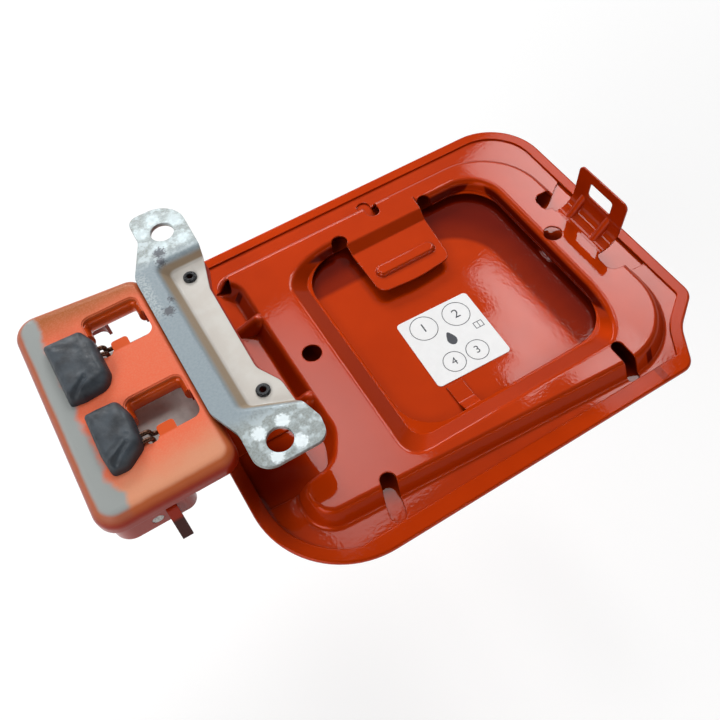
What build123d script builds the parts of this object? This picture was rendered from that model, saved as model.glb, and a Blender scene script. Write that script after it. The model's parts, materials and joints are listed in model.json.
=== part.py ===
"""Car fuel door with its hinge, in millimetres.

The door lies on its outer face. X runs from the hinge edge to the latch edge, Y along the hinge axis
and Z from the outer skin towards the inside of the car. The origin is the centre of the outer skin on
the plane it rests on. The hinge box, the bracket and the springs stay with the car; the two panels and
the arm swing about the pin.
"""
import os
from math import atan2, cos, hypot, radians, sin, tan

from build123d import *

# door outline and sheets
DOOR_LENGTH = 226.0
DOOR_WIDTH = 176.4
SKIN_T = 0.8
PANEL_T = 0.8
HEM_GAP = 0.2
HEM_FLAT = 0.2
HEM_WIDTH = 6.0
HEM_WIDTH_LOWER = 8.0
CORNER_HINGE_UPPER = 40.0
CORNER_HINGE_LOWER = 43.0
CORNER_LATCH_UPPER = 30.0
SCOOP_X = 27.5
SCOOP_Y = 30.2
SCOOP_DEPTH = 4.4

# plateau of the stamped inner panel, from the door's edges
PANEL_RISE = 7.8
WALL_SLOPE = 30.0
PLATEAU_ROUND = 3.0
FOOT_ROUND = 2.0
LATCH_MARGIN = 19.5
UPPER_MARGIN = 20.4
LOWER_MARGIN = 12.5
HINGE_MARGIN = 46.5
HEEL_MARGIN = 23.8
HEEL_REACH = 23.5
RIB_R = 4.0
RIB_DROP = 3.4
RIB_SET = 1.0
RIB_REACH = 13.5
RIB_SKEW = 3.0
RIB_YS = (36.5, -12.8)

# opening of the inner panel and its tongue, which is set from the opening's middle
OPENING_DEPTH = 5.0
OPENING_ROUND = 3.4
OPENING_CORNER = 18.0
OPENING_HINGE = 20.0
OPENING_LATCH = 21.5
OPENING_LOWER = 26.0
OPENING_UPPER = 11.5
ROLLED_LEAN = 58.0
STEEP_LEAN = 11.0
LIP_WIDTH = 1.2
JOGGLE_R = 1.6
TONGUE_SET = -3.35
TONGUE_WIDTH = 39.8
TONGUE_DEPTH = 38.8
TONGUE_FLARE = 4.7
TONGUE_BOW = 2.0
TONGUE_STEP = 3.2
TONGUE_BEND = (4.3, 9.8)
BEAD_SIZE = (33.0, 7.0)
BEAD_RISE = 1.8
BEAD_SET = 12.5
TAB_SET = 34.2
TAB_WIDTH = 8.5
TAB_BEND = (1.6, 6.8)
TAB_LENGTH = 16.2
TAB_GAP = 0.1

# holes and latch eye
HOLE_D = 9.0
RELIEF_D = 8.0
DRAIN_WIDTH = 7.0
EYE_SET = 3.8
EYE_HEIGHT = 33.6
EYE_Y = (-20.0, 12.5)
EYE_BEND = 9.0
EYE_CORNER = 3.0
EYE_SLOT = (15.5, 8.0)
EYE_SLOT_TOP = 5.1
DART_R = 2.0
DART_RUN = 5.4
DART_RISE = 7.6
DART_YS = (6.3, -11.4)

# hinge
PIN_D = 5.0
PIN_SET = 32.5
PIN_Z = 17.4
PIN_PLAY = 0.05
ARM_T = 2.0
ARM_Y = (-24.0, 47.0)
FOOT_Y = (-2.0, 47.0)
ARM_REACH = 36.0
ARM_RUN = 8.2
ARM_LEAD = 1.5
ARM_LINK = 7.5
ARM_STEP = 2.4
ARM_BENDS = (3.0, 5.0)
TOE_GAP = 2.0
KNUCKLES = ((-5.0, 17.0), (38.0, 47.0))
BOX_T = 1.5
BOX_HEIGHT = 9.0
BOX_ROUND = 6.0
BOX_X = (-20.0, 39.0)
BOX_Y = (-35.8, 69.8)
BOX_SKEW = 6.0
BOX_CORNERS = (10.0, 8.0)
RIM_OVER_PIN = 9.5
WELL_UNDER_PIN = 5.5
WELL_X = (-17.5, 17.0)
WELL_Y = (-33.3, 69.3)
WELL_CORNERS = (8.0, 5.0)
WELL_MOUTH = (4.0, 5.3)
WINDOW = (26.0, 23.0)
WINDOW_CENTRES = ((20.3, 47.4), (21.1, 0.4))
WINDOW_CORNER = 4.0
WINDOW_LIP = 9.0
NOTCH_PLAY = 1.3
NOTCH_ROUND = 1.5
HOOK_TAB = (7.4, 4.7)
HOOK_TAB_GAP = 1.9
BLADE_SET = 4.3
BLADE_WIDTH = 4.6
BLADE_T = 1.4
BLADE_DROP = (7.3, 13.2)
BLADE_REACH = 6.7
BLADE_SLOT = (-9.0, 14.7)
FLANGE_OUTLINE = (
    (69.1, -21.0, 4.0),
    (68.5, -11.0, 8.0),
    (63.0, 0.0, 8.0),
    (64.3, 48.0, 8.0),
    (68.0, 58.5, 6.0),
    (68.0, 66.0, 4.0),
)
FLANGE_HEEL = -17.0

# bracket, placed from the pin
BRACKET_T = 2.0
TRAY_DEPTH = 6.0
TRAY_DROP = 4.5
TRAY_SIDE = 46.0
TRAY_END = 66.8
TRAY_SLANT = (51.4, -20.6)
TRAY_SLANT_ANGLE = 66.2
TRAY_LEANS_ANGLE = (45.0, 21.0, 37.0)
TRAY_CORNER = 4.0
TRAY_SHOULDER = 1.0
TRAY_FOOT = 1.2
BRACKET_OUTLINE = (
    (41.3, -47.4, 8.0),
    (71.1, -47.8, 6.0),
    (72.5, -38.0, 5.0),
    (68.5, -24.0, 4.0),
    (67.9, -12.0, 8.0),
    (62.0, -1.0, 8.0),
    (63.3, 47.0, 8.0),
    (66.9, 60.0, 6.0),
    (69.1, 68.0, 4.0),
    (70.3, 99.3, 13.0),
    (46.2, 99.3, 5.0),
    (45.9, 84.0, 8.0),
    (36.5, 65.0, 9.0),
    (36.3, -14.0, 10.0),
    (41.7, -28.0, 10.0),
)
EAR_HOLES = ((57.7, 83.8), (54.4, -38.5))
EAR_HOLE_D = 11.0
RIVETS = ((58.4, 57.3), (59.5, -12.5))
RIVET_BORE = 3.0
RIVET_SHANK = 4.6
RIVET_HEAD = 6.2
RIVET_RISE = 1.2

# springs and sleeves
WIRE_D = 2.0
COIL_PLAY = 1.1
COIL_TURNS = 3.5
COIL_GAP = 0.5
LEG_ANGLE = 14.0
LEG_LENGTH = 24.0
HAIRPIN = 3.4
HAIRPIN_LENGTH = 18.0
HOOK_LENGTH = 4.4
SLEEVE_HEIGHT = 7.0
SLEEVE_ROUND = 3.0
SLEEVE_PLAY = 0.3
SLEEVES = ((0.1, 34.9, 19.6, 32.6), (1.2, -3.6, 17.0, 29.8))

# label, placed from the opening's lower hinge corner
LABEL_SIZE = 38.6
LABEL_T = 0.3
LABEL_CORNER = 2.0
LABEL_AT = (51.7, 44.6)
LABEL_TURN = -2.0

HALF_L = DOOR_LENGTH / 2
HALF_W = DOOR_WIDTH / 2
FLANGE_Z = SKIN_T + PANEL_T
HEM_Z = FLANGE_Z + SKIN_T
PLATEAU_Z = FLANGE_Z + PANEL_RISE
LIP_Z = PLATEAU_Z - OPENING_DEPTH
PLATEAU_X0 = HINGE_MARGIN - HALF_L
PLATEAU_X1 = HALF_L - LATCH_MARGIN
PLATEAU_Y1 = HALF_W - UPPER_MARGIN
OPEN_X0 = PLATEAU_X0 + OPENING_HINGE
OPEN_X1 = PLATEAU_X1 - OPENING_LATCH
OPEN_Y0 = OPENING_LOWER - HALF_W
OPEN_Y1 = PLATEAU_Y1 - OPENING_UPPER
TONGUE_X0 = (OPEN_X0 + OPEN_X1 - TONGUE_WIDTH) / 2 + TONGUE_SET
TONGUE_X1 = TONGUE_X0 + TONGUE_WIDTH
TONGUE_Y0 = OPEN_Y1 - TONGUE_DEPTH
EYE_X = PLATEAU_X1 + EYE_SET
EYE_BACK = EYE_X - EYE_BEND - 0.8
PIN_X = -HALF_L - PIN_SET
EYE_R = PIN_D / 2 + PIN_PLAY
BOX_RIM = PIN_Z + RIM_OVER_PIN
BOX_TOP = BOX_RIM + BOX_HEIGHT
WELL_FLOOR = PIN_Z - WELL_UNDER_PIN
BRACKET_FLOOR = BOX_TOP - TRAY_DROP
BRACKET_TOP = BRACKET_FLOOR + TRAY_DEPTH
EAR_FLANGE_Z = BRACKET_FLOOR - BRACKET_T
COIL_R = PIN_D / 2 + COIL_PLAY + WIRE_D / 2
COIL_PITCH = WIRE_D + COIL_GAP
HOOK_X = WINDOW[0] / 2 - 4.6
HOOK_Y = WINDOW[1] / 2 - 0.3
FAR = 300.0


def shifted(corners, grow):
    """Corners (x, y, radius) of a counter-clockwise polygon moved outwards by grow."""
    out = []
    count = len(corners)
    for i, (x, y, r) in enumerate(corners):
        ax, ay, _ = corners[i - 1]
        bx, by, _ = corners[(i + 1) % count]
        d1 = hypot(x - ax, y - ay)
        d2 = hypot(bx - x, by - y)
        u1 = ((x - ax) / d1, (y - ay) / d1)
        u2 = ((bx - x) / d2, (by - y) / d2)
        turn = u1[0] * u2[1] - u1[1] * u2[0]
        along = u1[0] * u2[0] + u1[1] * u2[1]
        n1 = (u1[1], -u1[0])
        n2 = (u2[1], -u2[0])
        k = grow / (1 + along)
        radius = r + grow if turn > 0 else r - grow
        out.append((x + k * (n1[0] + n2[0]), y + k * (n1[1] + n2[1]), max(radius, 0.3) if r else 0))
    return out


def rounded(corners, z=0.0, grow=0.0):
    """Face at height z from counter-clockwise corners (x, y, radius), grown outwards by grow."""
    pts = shifted(corners, grow) if grow else list(corners)
    count = len(pts)
    cuts = []
    for i, (x, y, r) in enumerate(pts):
        ax, ay, _ = pts[i - 1]
        bx, by, _ = pts[(i + 1) % count]
        d1 = hypot(ax - x, ay - y)
        d2 = hypot(bx - x, by - y)
        u1 = ((ax - x) / d1, (ay - y) / d1)
        u2 = ((bx - x) / d2, (by - y) / d2)
        along = u1[0] * u2[0] + u1[1] * u2[1]
        half = ((1 - along) / 2) ** 0.5
        reach = r * ((1 + along) / 2) ** 0.5 / half
        bis = hypot(u1[0] + u2[0], u1[1] + u2[1])
        near = r / half - r
        start = (x + u1[0] * reach, y + u1[1] * reach, z)
        end = (x + u2[0] * reach, y + u2[1] * reach, z)
        mid = (x + (u1[0] + u2[0]) / bis * near, y + (u1[1] + u2[1]) / bis * near, z)
        cuts.append((start, mid, end, r))
    edges = []
    for i, (start, mid, end, r) in enumerate(cuts):
        if r:
            edges.append(ThreePointArc(start, mid, end))
        edges.append(Line(end, cuts[(i + 1) % count][0]))
    return Face(Wire(edges))


def prism(corners, z0, z1, grow=0.0):
    """Upright block between two heights."""
    return extrude(rounded(corners, z0, grow), amount=z1 - z0, dir=(0, 0, 1))


def box_at(x0, x1, y0, y1, z0, z1):
    """Box from its limits."""
    return Pos((x0 + x1) / 2, (y0 + y1) / 2, (z0 + z1) / 2) * Box(x1 - x0, y1 - y0, z1 - z0)


def from_pin(corners):
    """Corners (x, y, radius) whose x is measured from the pin."""
    return [(PIN_X + x, y, r) for x, y, r in corners]


def half_space(x, y, z, heading, lean, back=0.0):
    """Big block inside a wall through (x, y, z) that faces heading and leans inwards below z."""
    a, b = radians(heading), radians(lean)
    normal = Vector(cos(a) * cos(b), sin(a) * cos(b), sin(b))
    wall = Plane(origin=Vector(x, y, z) - normal * back, z_dir=normal)
    return wall * Pos(0, 0, FAR) * Box(4 * FAR, 4 * FAR, 2 * FAR)


def hollow(walls, z, floor, d, radius):
    """Pocket between leaning walls (x, y, heading, lean), offset by d, with rounded corners."""
    body = box_at(-FAR, FAR, -FAR, FAR, floor - d, z + 30)
    for x, y, heading, lean in walls:
        body &= half_space(x, y, z, heading, lean, d)
    corners = []
    for edge in body.edges():
        box = edge.bounding_box()
        c = box.center()
        if box.size.Z > 2 and max(abs(c.X), abs(c.Y)) < 0.7 * FAR:
            corners.append(edge)
    return fillet(corners, radius + d)


def drill(x, y, d):
    """Upright cylinder used to cut a hole."""
    return Pos(x, y, 0) * Cylinder(d / 2, FAR)


def slot_cut(a, b, width):
    """Upright slot between two points, with round ends."""
    (ax, ay), (bx, by) = a, b
    run = hypot(bx - ax, by - ay)
    side = ((by - ay) / run * width / 2, (ax - bx) / run * width / 2)
    quad = [(ax + side[0], ay + side[1]), (ax - side[0], ay - side[1])]
    quad += [(bx - side[0], by - side[1]), (bx + side[0], by + side[1])]
    bar = extrude(make_face(Polyline(*quad, close=True)), amount=FAR / 2, both=True)
    return drill(ax, ay, width) + drill(bx, by, width) + bar


def cross_bar(z, d, x=None):
    """Long cylinder along Y through the pin's place."""
    return Pos(PIN_X if x is None else x, 0, z) * Rot(90, 0, 0) * Cylinder(d / 2, 2 * FAR)


def rod(a, b, r):
    """Round bar from point a to point b."""
    run = b - a
    return Plane(origin=a, z_dir=run) * Pos(0, 0, run.length / 2) * Cylinder(r, run.length)


def joggled(root, bend, foot, tip, high, low, x0, x1):
    """Sheet strip that runs along Y from its root at one height, down a step, to its tip."""
    way = 1 if tip > root else -1
    lag = way * PANEL_T * tan(atan2(high - low, abs(foot - bend)) / 2)
    wide = JOGGLE_R + PANEL_T
    corners = [
        (root, high, 0),
        (bend, high, wide),
        (foot, low, JOGGLE_R),
        (tip, low, 0),
        (tip, low - PANEL_T, 0),
        (foot - lag, low - PANEL_T, wide),
        (bend - lag, high - PANEL_T, JOGGLE_R),
        (root, high - PANEL_T, 0),
    ]
    face = Plane.YZ * rounded(corners if way < 0 else corners[::-1])
    return extrude(Pos(x0, 0, 0) * face, amount=x1 - x0, dir=(1, 0, 0))


def level_edges(solid, z, inside=None):
    """Edges of a solid that lie flat at height z, within the limits (x0, x1, y0, y1)."""
    found = []
    for edge in solid.edges():
        box = edge.bounding_box()
        if abs(box.min.Z - z) > 1e-4 or abs(box.max.Z - z) > 1e-4:
            continue
        c = box.center()
        if inside and not (inside[0] < c.X < inside[1] and inside[2] < c.Y < inside[3]):
            continue
        found.append(edge)
    return found


def side_face(points):
    """Face in the XZ plane from (x, z, radius) corners, counter-clockwise seen from -Y."""
    return Plane.XZ * rounded(points)


def strip(face, y0, y1):
    """Extrude an XZ face between two Y limits."""
    return extrude(Pos(0, y0, 0) * face, amount=y1 - y0, dir=(0, 1, 0))


def lifted(face, z0, z1):
    """Extrude a flat face between two heights."""
    return extrude(Pos(0, 0, z0) * face, amount=z1 - z0, dir=(0, 0, 1))


def door_outline(inset=0.0):
    """Face of the door outline with its finger scoop in the lower latch corner."""
    x, y = HALF_L, -HALF_W
    chord = hypot(SCOOP_X, SCOOP_Y)
    dip = SCOOP_DEPTH / chord
    corners = [
        (-x, y, CORNER_HINGE_LOWER),
        (x - SCOOP_X, y, 8),
        (x - SCOOP_X / 2 - dip * SCOOP_Y, y + SCOOP_Y / 2 + dip * SCOOP_X, 20),
        (x, y + SCOOP_Y, 8),
        (x, -y, CORNER_LATCH_UPPER),
        (-x, -y, CORNER_HINGE_UPPER),
    ]
    return rounded(corners, 0.0, -inset)


def outer_panel():
    """Outer skin with its edge folded back over the inner panel."""
    body = lifted(door_outline(), 0, HEM_Z)
    rims = level_edges(body, 0.0) + level_edges(body, HEM_Z)
    body = fillet(rims, (HEM_Z - HEM_FLAT) / 2)
    body -= lifted(door_outline(SKIN_T), SKIN_T, FLANGE_Z)
    well = door_outline(HEM_WIDTH)
    low = -HALF_W + HEM_WIDTH_LOWER
    well = (well & rounded([(-FAR, low, 0), (FAR, low, 0), (FAR, FAR, 0), (-FAR, FAR, 0)])).faces()[0]
    return body - lifted(well, SKIN_T, HEM_Z + 1)


def plateau_corners():
    """Corners of the plateau's top, with the bay for the lower ear of the bracket."""
    heel_x = PLATEAU_X0 - HEEL_REACH
    heel_y = HEEL_MARGIN - HALF_W
    bay_y = EAR_HOLES[1][1] - 10.0
    heel = bay_y - heel_y
    return [
        (heel_x, heel_y, 0.56 * heel),
        (PLATEAU_X1, LOWER_MARGIN - HALF_W, 32),
        (PLATEAU_X1, PLATEAU_Y1, 34),
        (PLATEAU_X0 - 7.5, PLATEAU_Y1, 3),
        (PLATEAU_X0, PLATEAU_Y1 - 9.8, 12),
        (PLATEAU_X0, bay_y + 15.5, 14),
        (PLATEAU_X0 - 8.0, bay_y + 2.5, 12),
        (heel_x, bay_y, 0.31 * heel),
    ]


def opening(d):
    """Pocket of the big opening, rolled wide on the hinge and lower sides."""
    walls = [
        (OPEN_X0, 0, 0, ROLLED_LEAN),
        (OPEN_X1, 0, 180, STEEP_LEAN),
        (0, OPEN_Y0, 90, ROLLED_LEAN),
        (0, OPEN_Y1, 270, STEEP_LEAN),
    ]
    return hollow(walls, PLATEAU_Z, LIP_Z, d, OPENING_CORNER)


def mouth_corners():
    """Corners of the hole that the opening's lip leaves free."""
    rolled = OPENING_DEPTH * tan(radians(ROLLED_LEAN)) + LIP_WIDTH
    steep = OPENING_DEPTH * tan(radians(STEEP_LEAN)) + LIP_WIDTH
    x0, x1 = OPEN_X0 + rolled, OPEN_X1 - steep
    y0, y1 = OPEN_Y0 + rolled, OPEN_Y1 - steep
    return [(x, y, OPENING_CORNER + LIP_WIDTH) for x, y in ((x0, y0), (x1, y0), (x1, y1), (x0, y1))]


def panel_form(d):
    """Solid under one face of the inner panel: d = 0 is the upper face, d = PANEL_T the lower."""
    slope = tan(radians(WALL_SLOPE))
    skin = d / cos(radians(WALL_SLOPE))
    top = PLATEAU_Z - d
    base = FLANGE_Z - d
    body = box_at(-HALF_L - 40, HALF_L + 40, -HALF_W - 40, HALF_W + 40, base - 12, base)
    grow = (PLATEAU_Z - base + 1) * slope - skin
    foot_face = rounded(plateau_corners(), base - 1, grow)
    body += extrude(foot_face, amount=top - base + 1, dir=(0, 0, 1), taper=WALL_SLOPE)
    limits = (1 - HALF_L, HALF_L - 1, 1 - HALF_W, HALF_W - 1)
    body = fillet(level_edges(body, top, limits), PLATEAU_ROUND - d)
    body = fillet(level_edges(body, base, limits), FOOT_ROUND + d)
    body -= opening(d)
    brim = level_edges(body, top, (OPEN_X0 - 3, OPEN_X1 + 3, OPEN_Y0 - 3, OPEN_Y1 + 3))
    body = fillet(brim, OPENING_ROUND - d)
    for y in RIB_YS:
        high = Vector(PLATEAU_X0 - RIB_SET, y, PLATEAU_Z - RIB_DROP)
        low = Vector(PLATEAU_X0 - RIB_REACH + 0.2 * RIB_R, y + RIB_SKEW, FLANGE_Z - 1.1 * RIB_R)
        body += rod(high, low, RIB_R - d)
        body += Pos(high) * Sphere(RIB_R - d)
    return body


def tongue():
    """Flap for the filler cap, stepped down below the plateau, with a bowed end and a bead."""
    root = OPEN_Y1 + OPENING_ROUND + 2.3
    low = PLATEAU_Z - TONGUE_STEP
    bend, foot = (OPEN_Y1 - y for y in TONGUE_BEND)
    middle = (TONGUE_X0 + TONGUE_X1) / 2
    corners = [
        (TONGUE_X0, TONGUE_Y0 + TONGUE_BOW, 5),
        (middle, TONGUE_Y0, 60),
        (TONGUE_X1, TONGUE_Y0 + TONGUE_BOW, 5),
        (TONGUE_X1 + 0.6 * TONGUE_FLARE, foot, 20),
        (TONGUE_X1 + TONGUE_FLARE, root, 0),
        (TONGUE_X0, root, 0),
    ]
    x0, x1 = TONGUE_X0 - 1, TONGUE_X1 + 2 * TONGUE_FLARE
    sheet = joggled(root, bend, foot, TONGUE_Y0 - 1, PLATEAU_Z, low, x0, x1)
    sheet &= prism(corners, 0, PLATEAU_Z + 1)
    place = Pos(middle + 0.5, TONGUE_Y0 + BEAD_SET, low - PANEL_T)
    length, width = BEAD_SIZE
    bead = extrude(place * SlotOverall(length, width), amount=PANEL_T + BEAD_RISE)
    bead = fillet(level_edges(bead, low + BEAD_RISE), 0.9 * BEAD_RISE)
    return sheet + bead - extrude(place * SlotOverall(length - 2, width - 2), amount=BEAD_RISE)


def skin_tab():
    """Small tab of the opening's lower lip, stepped down onto the skin."""
    root = OPEN_Y0 + OPENING_DEPTH * tan(radians(ROLLED_LEAN))
    bend, foot = (root + y for y in TAB_BEND)
    low = SKIN_T + TAB_GAP + PANEL_T
    x0 = OPEN_X0 + TAB_SET
    return joggled(root, bend, foot, root + TAB_LENGTH, LIP_Z, low, x0, x0 + TAB_WIDTH)


def latch_cut():
    """Two notches and the strip between them that frees the latch eye."""
    x = PLATEAU_X1
    low, high = EYE_Y[0] + 1.0, EYE_Y[1] + 2.5
    upper = [
        (x - 10.1, high, 4.0),
        (HALF_L, high, 0),
        (HALF_L, high + 21, 0),
        (x + 10.5, high + 16, 3),
        (x + 3.5, high + 11, 3),
        (x - 10.1, high + 11, 4.5),
    ]
    lower = [
        (x - 8.1, low - 12.6, 5),
        (HALF_L, low - 14, 0),
        (HALF_L, low, 0),
        (x - 8.1, low, 5),
    ]
    between = box_at(EYE_BACK, HALF_L, low - 1, high + 1, -1, PLATEAU_Z + 1)
    return prism(upper, -1, PLATEAU_Z + 1) + prism(lower, -1, PLATEAU_Z + 1) + between


def latch_eye():
    """Latch eye bent up from the plateau, with two darts across the bend."""
    top = FLANGE_Z + EYE_HEIGHT
    under = PLATEAU_Z - PANEL_T
    outer = [
        (EYE_BACK, under, 0),
        (EYE_X + PANEL_T, under, EYE_BEND + PANEL_T),
        (EYE_X + PANEL_T, top, 0),
    ]
    inner = [(EYE_X, top, 0), (EYE_X, PLATEAU_Z, EYE_BEND), (EYE_BACK, PLATEAU_Z, 0)]
    plate = strip(side_face(outer + inner), *EYE_Y)
    ends = [e for e in plate.edges().filter_by(Axis.X) if e.center().Z > top - 1]
    plate = fillet(ends, EYE_CORNER)
    width, height = EYE_SLOT
    y0 = (EYE_Y[0] + EYE_Y[1] - width) / 2
    z1 = top - EYE_SLOT_TOP
    slot = box_at(EYE_X - 3, EYE_X + 3, y0, y0 + width, z1 - height, z1)
    plate -= fillet(slot.edges().filter_by(Axis.X), 1.5)
    room = strip(side_face(outer + [(EYE_BACK, top, 0)]), *EYE_Y)
    for y in DART_YS:
        low = Vector(EYE_X - DART_RUN, y, PLATEAU_Z)
        high = Vector(EYE_X, y, PLATEAU_Z + DART_RISE)
        past = (high - low) * 0.4
        plate += rod(low - past, high + past, DART_R) & room
    return plate


def inner_panel():
    """Stamped inner panel: plateau, rolled opening, cap tongue, latch eye and cut-outs."""
    sheet = panel_form(0.0) - panel_form(PANEL_T)
    sheet &= lifted(door_outline(SKIN_T + HEM_GAP), -20, 60)
    sheet -= prism(mouth_corners(), -20, LIP_Z + 0.5)
    rim = OPEN_Y1 + OPENING_ROUND + 0.4
    sheet -= box_at(TONGUE_X0, TONGUE_X1 + TONGUE_FLARE, OPEN_Y1 - 10.3, rim, -5, PLATEAU_Z + 2)
    sheet += tongue()
    sheet += skin_tab()
    sheet = sheet - latch_cut() + latch_eye()
    for x, y in ((PLATEAU_X0 + 10.8, 5.9), (PLATEAU_X1 - 16.0, 2.0)):
        sheet -= drill(x, y, HOLE_D)
    for x, y in ((TONGUE_X0 - 2.1, OPEN_Y1 - 1.1), (TONGUE_X1 + 8.4, OPEN_Y1 - 1.6)):
        sheet -= drill(x, y, RELIEF_D)
    lower = OPEN_Y0 - 2.7
    sheet -= slot_cut((OPEN_X1 - 12.1, lower - 0.5), (OPEN_X1 - 12.1, lower - 13.1), DRAIN_WIDTH - 1)
    sheet -= slot_cut((OPEN_X0 - 12.9, lower + 0.5), (OPEN_X0 - 15.7, lower - 11.6), DRAIN_WIDTH)
    mid = (TONGUE_X0 + TONGUE_X1) / 2 + 2.4
    sheet -= slot_cut((mid, PLATEAU_Y1 - 4.2), (mid + 0.6, PLATEAU_Y1 + 6.6), DRAIN_WIDTH)
    corner = (PLATEAU_X0, PLATEAU_Y1)
    notch = [(-12.5, -1.5, 0.8), (-4.1, -8.5, 0.8), (-2.5, -2.9, 0.8)]
    sheet -= prism([(corner[0] + x, corner[1] + y, r) for x, y, r in notch], -5, 60)
    ear_y = EAR_HOLES[1][1]
    left = 4.5 - HALF_L
    bay_end = RIB_YS[1] - RIB_R - 1.5
    bay = [
        (left, ear_y - 8.0, 3),
        (PLATEAU_X0 - 25.5, ear_y - 9.0, 6),
        (PLATEAU_X0 - 10.5, ear_y - 7.5, 6),
        (PLATEAU_X0 - 5.3, ear_y + 5.5, 10),
        (PLATEAU_X0 - 5.3, bay_end, 4),
        (left, bay_end, 4),
    ]
    return sheet - prism(bay, -5, 60)


def fuel_label():
    """Square sticker on the inner face of the skin."""
    tile = extrude(RectangleRounded(LABEL_SIZE, LABEL_SIZE, LABEL_CORNER), amount=LABEL_T)
    x, y = LABEL_AT
    return Pos(OPEN_X0 + x, OPEN_Y0 + y, SKIN_T) * Rot(0, 0, LABEL_TURN) * tile


def hinge_arm():
    """Swan-neck arm: two rolled eyes on the pin, a plate, a riser and a foot welded to the panel."""
    top = PIN_Z + EYE_R + ARM_T
    under = top - ARM_T
    foot = FLANGE_Z
    bend = PIN_X + ARM_REACH
    toe = PLATEAU_X0 - RIB_REACH - TOE_GAP
    inner, outer = ARM_BENDS
    neck = [
        (PIN_X, under, 0),
        (bend, under, inner),
        (bend + ARM_RUN, foot, outer),
        (toe, foot, 0),
        (toe, foot + ARM_T, 0.45 * ARM_T),
        (bend + ARM_RUN + ARM_LEAD, foot + ARM_T, inner),
        (bend + ARM_LEAD, top, outer),
        (PIN_X, top, 0),
    ]
    face = side_face(neck)
    body = strip(face, *ARM_Y)
    link = PIN_X + ARM_LINK
    body -= box_at(PIN_X - FAR, link, ARM_Y[0] - 1, ARM_Y[1] + 1, -FAR, FAR)
    body -= box_at(bend + ARM_STEP, toe + FAR, ARM_Y[0] - 1, FOOT_Y[0], -FAR, FAR)
    for y0, y1 in KNUCKLES:
        body += strip(face, y0, y1) & box_at(PIN_X, link + 1, y0, y1, -FAR, FAR)
        body += Pos(PIN_X, (y0 + y1) / 2, PIN_Z) * Rot(90, 0, 0) * Cylinder(EYE_R + ARM_T, y1 - y0)
    return body - cross_bar(PIN_Z, 2 * EYE_R)


def box_corners():
    """Corners of the hinge box, whose upper end is a little skewed."""
    x0, x1 = BOX_X
    y0, y1 = BOX_Y
    far, near = BOX_CORNERS
    return from_pin([(x0, y0, far), (x1, y0, near), (x1, y1, near), (x0, y1 + BOX_SKEW, far)])


def well_corners():
    """Corners of the deeper well that holds the pin."""
    x0, x1 = WELL_X
    y0, y1 = WELL_Y
    far, near = WELL_CORNERS
    return from_pin([(x0, y0, far), (x1, y0, near), (x1, y1, near), (x0, y1, far)])


def flange_corners():
    """Corners of the flange under the bracket."""
    inner = BOX_X[1] - BOX_T
    end = FLANGE_OUTLINE[-1][1]
    return from_pin([(inner, FLANGE_HEEL, 0), *FLANGE_OUTLINE, (inner, end, 0)])


def window_corners(centre, grow=0.0):
    """Corners of one window in the top of the hinge box."""
    w, h = WINDOW[0] / 2, WINDOW[1] / 2
    x, y = PIN_X + centre[0], centre[1]
    r = WINDOW_CORNER
    return shifted([(x - w, y - h, r), (x + w, y - h, r), (x + w, y + h, r), (x - w, y + h, r)], grow)


def window_cut(centre):
    """Window with the notch that the spring hook passes through."""
    x = PIN_X + centre[0] - HOOK_X
    y = centre[1] - WINDOW[1] / 2
    half = WIRE_D / 2 + NOTCH_PLAY
    r = NOTCH_ROUND
    notch = [(x - half, y - r, r), (x + half, y - r, r), (x + half, centre[1], 0), (x - half, centre[1], 0)]
    low, high = BOX_TOP - 2 * BOX_T, BOX_TOP + BOX_T
    return prism(window_corners(centre), low, high) + prism(notch, low, high)


def window_trim(centre):
    """Hook tab on the lower side of a window and the drawn lip on its upper side."""
    x = PIN_X + centre[0] - HOOK_X + WIRE_D / 2 + HOOK_TAB_GAP
    y = centre[1] - WINDOW[1] / 2
    root, side, tip = y - BOX_T, x + HOOK_TAB[0], y + HOOK_TAB[1]
    tab = [(x, root, 0), (side, root, 0), (side, tip, NOTCH_ROUND), (x, tip, NOTCH_ROUND)]
    lip = prism(window_corners(centre, BOX_T * 0.6), BOX_TOP - WINDOW_LIP, BOX_TOP - 0.4)
    lip -= prism(window_corners(centre, -BOX_T * 0.4), 0, FAR)
    lip -= box_at(x - FAR, x + FAR, y - FAR, centre[1] + BOX_T, 0, FAR)
    return prism(tab, BOX_TOP - BOX_T, BOX_TOP) + lip


def stop_blade():
    """Narrow blade bent down and out of the lower end of the well."""
    y, z = WELL_Y[0], BOX_RIM - BLADE_DROP[0]
    tip = (y - BLADE_REACH, z - BLADE_DROP[1])
    side = [
        (*tip, 0),
        (tip[0] - BLADE_T, tip[1] + BLADE_T / 2, 0),
        (y - BLADE_T, z + 2 * BLADE_T, BLADE_T),
        (y + BLADE_T, z + 2 * BLADE_T, 0),
        (y + BLADE_T, z, 0),
        (y, z, 0),
    ]
    face = Plane.YZ * rounded(list(reversed(side)))
    return extrude(Pos(PIN_X + BLADE_SET, 0, 0) * face, amount=BLADE_WIDTH, dir=(1, 0, 0))


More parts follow.
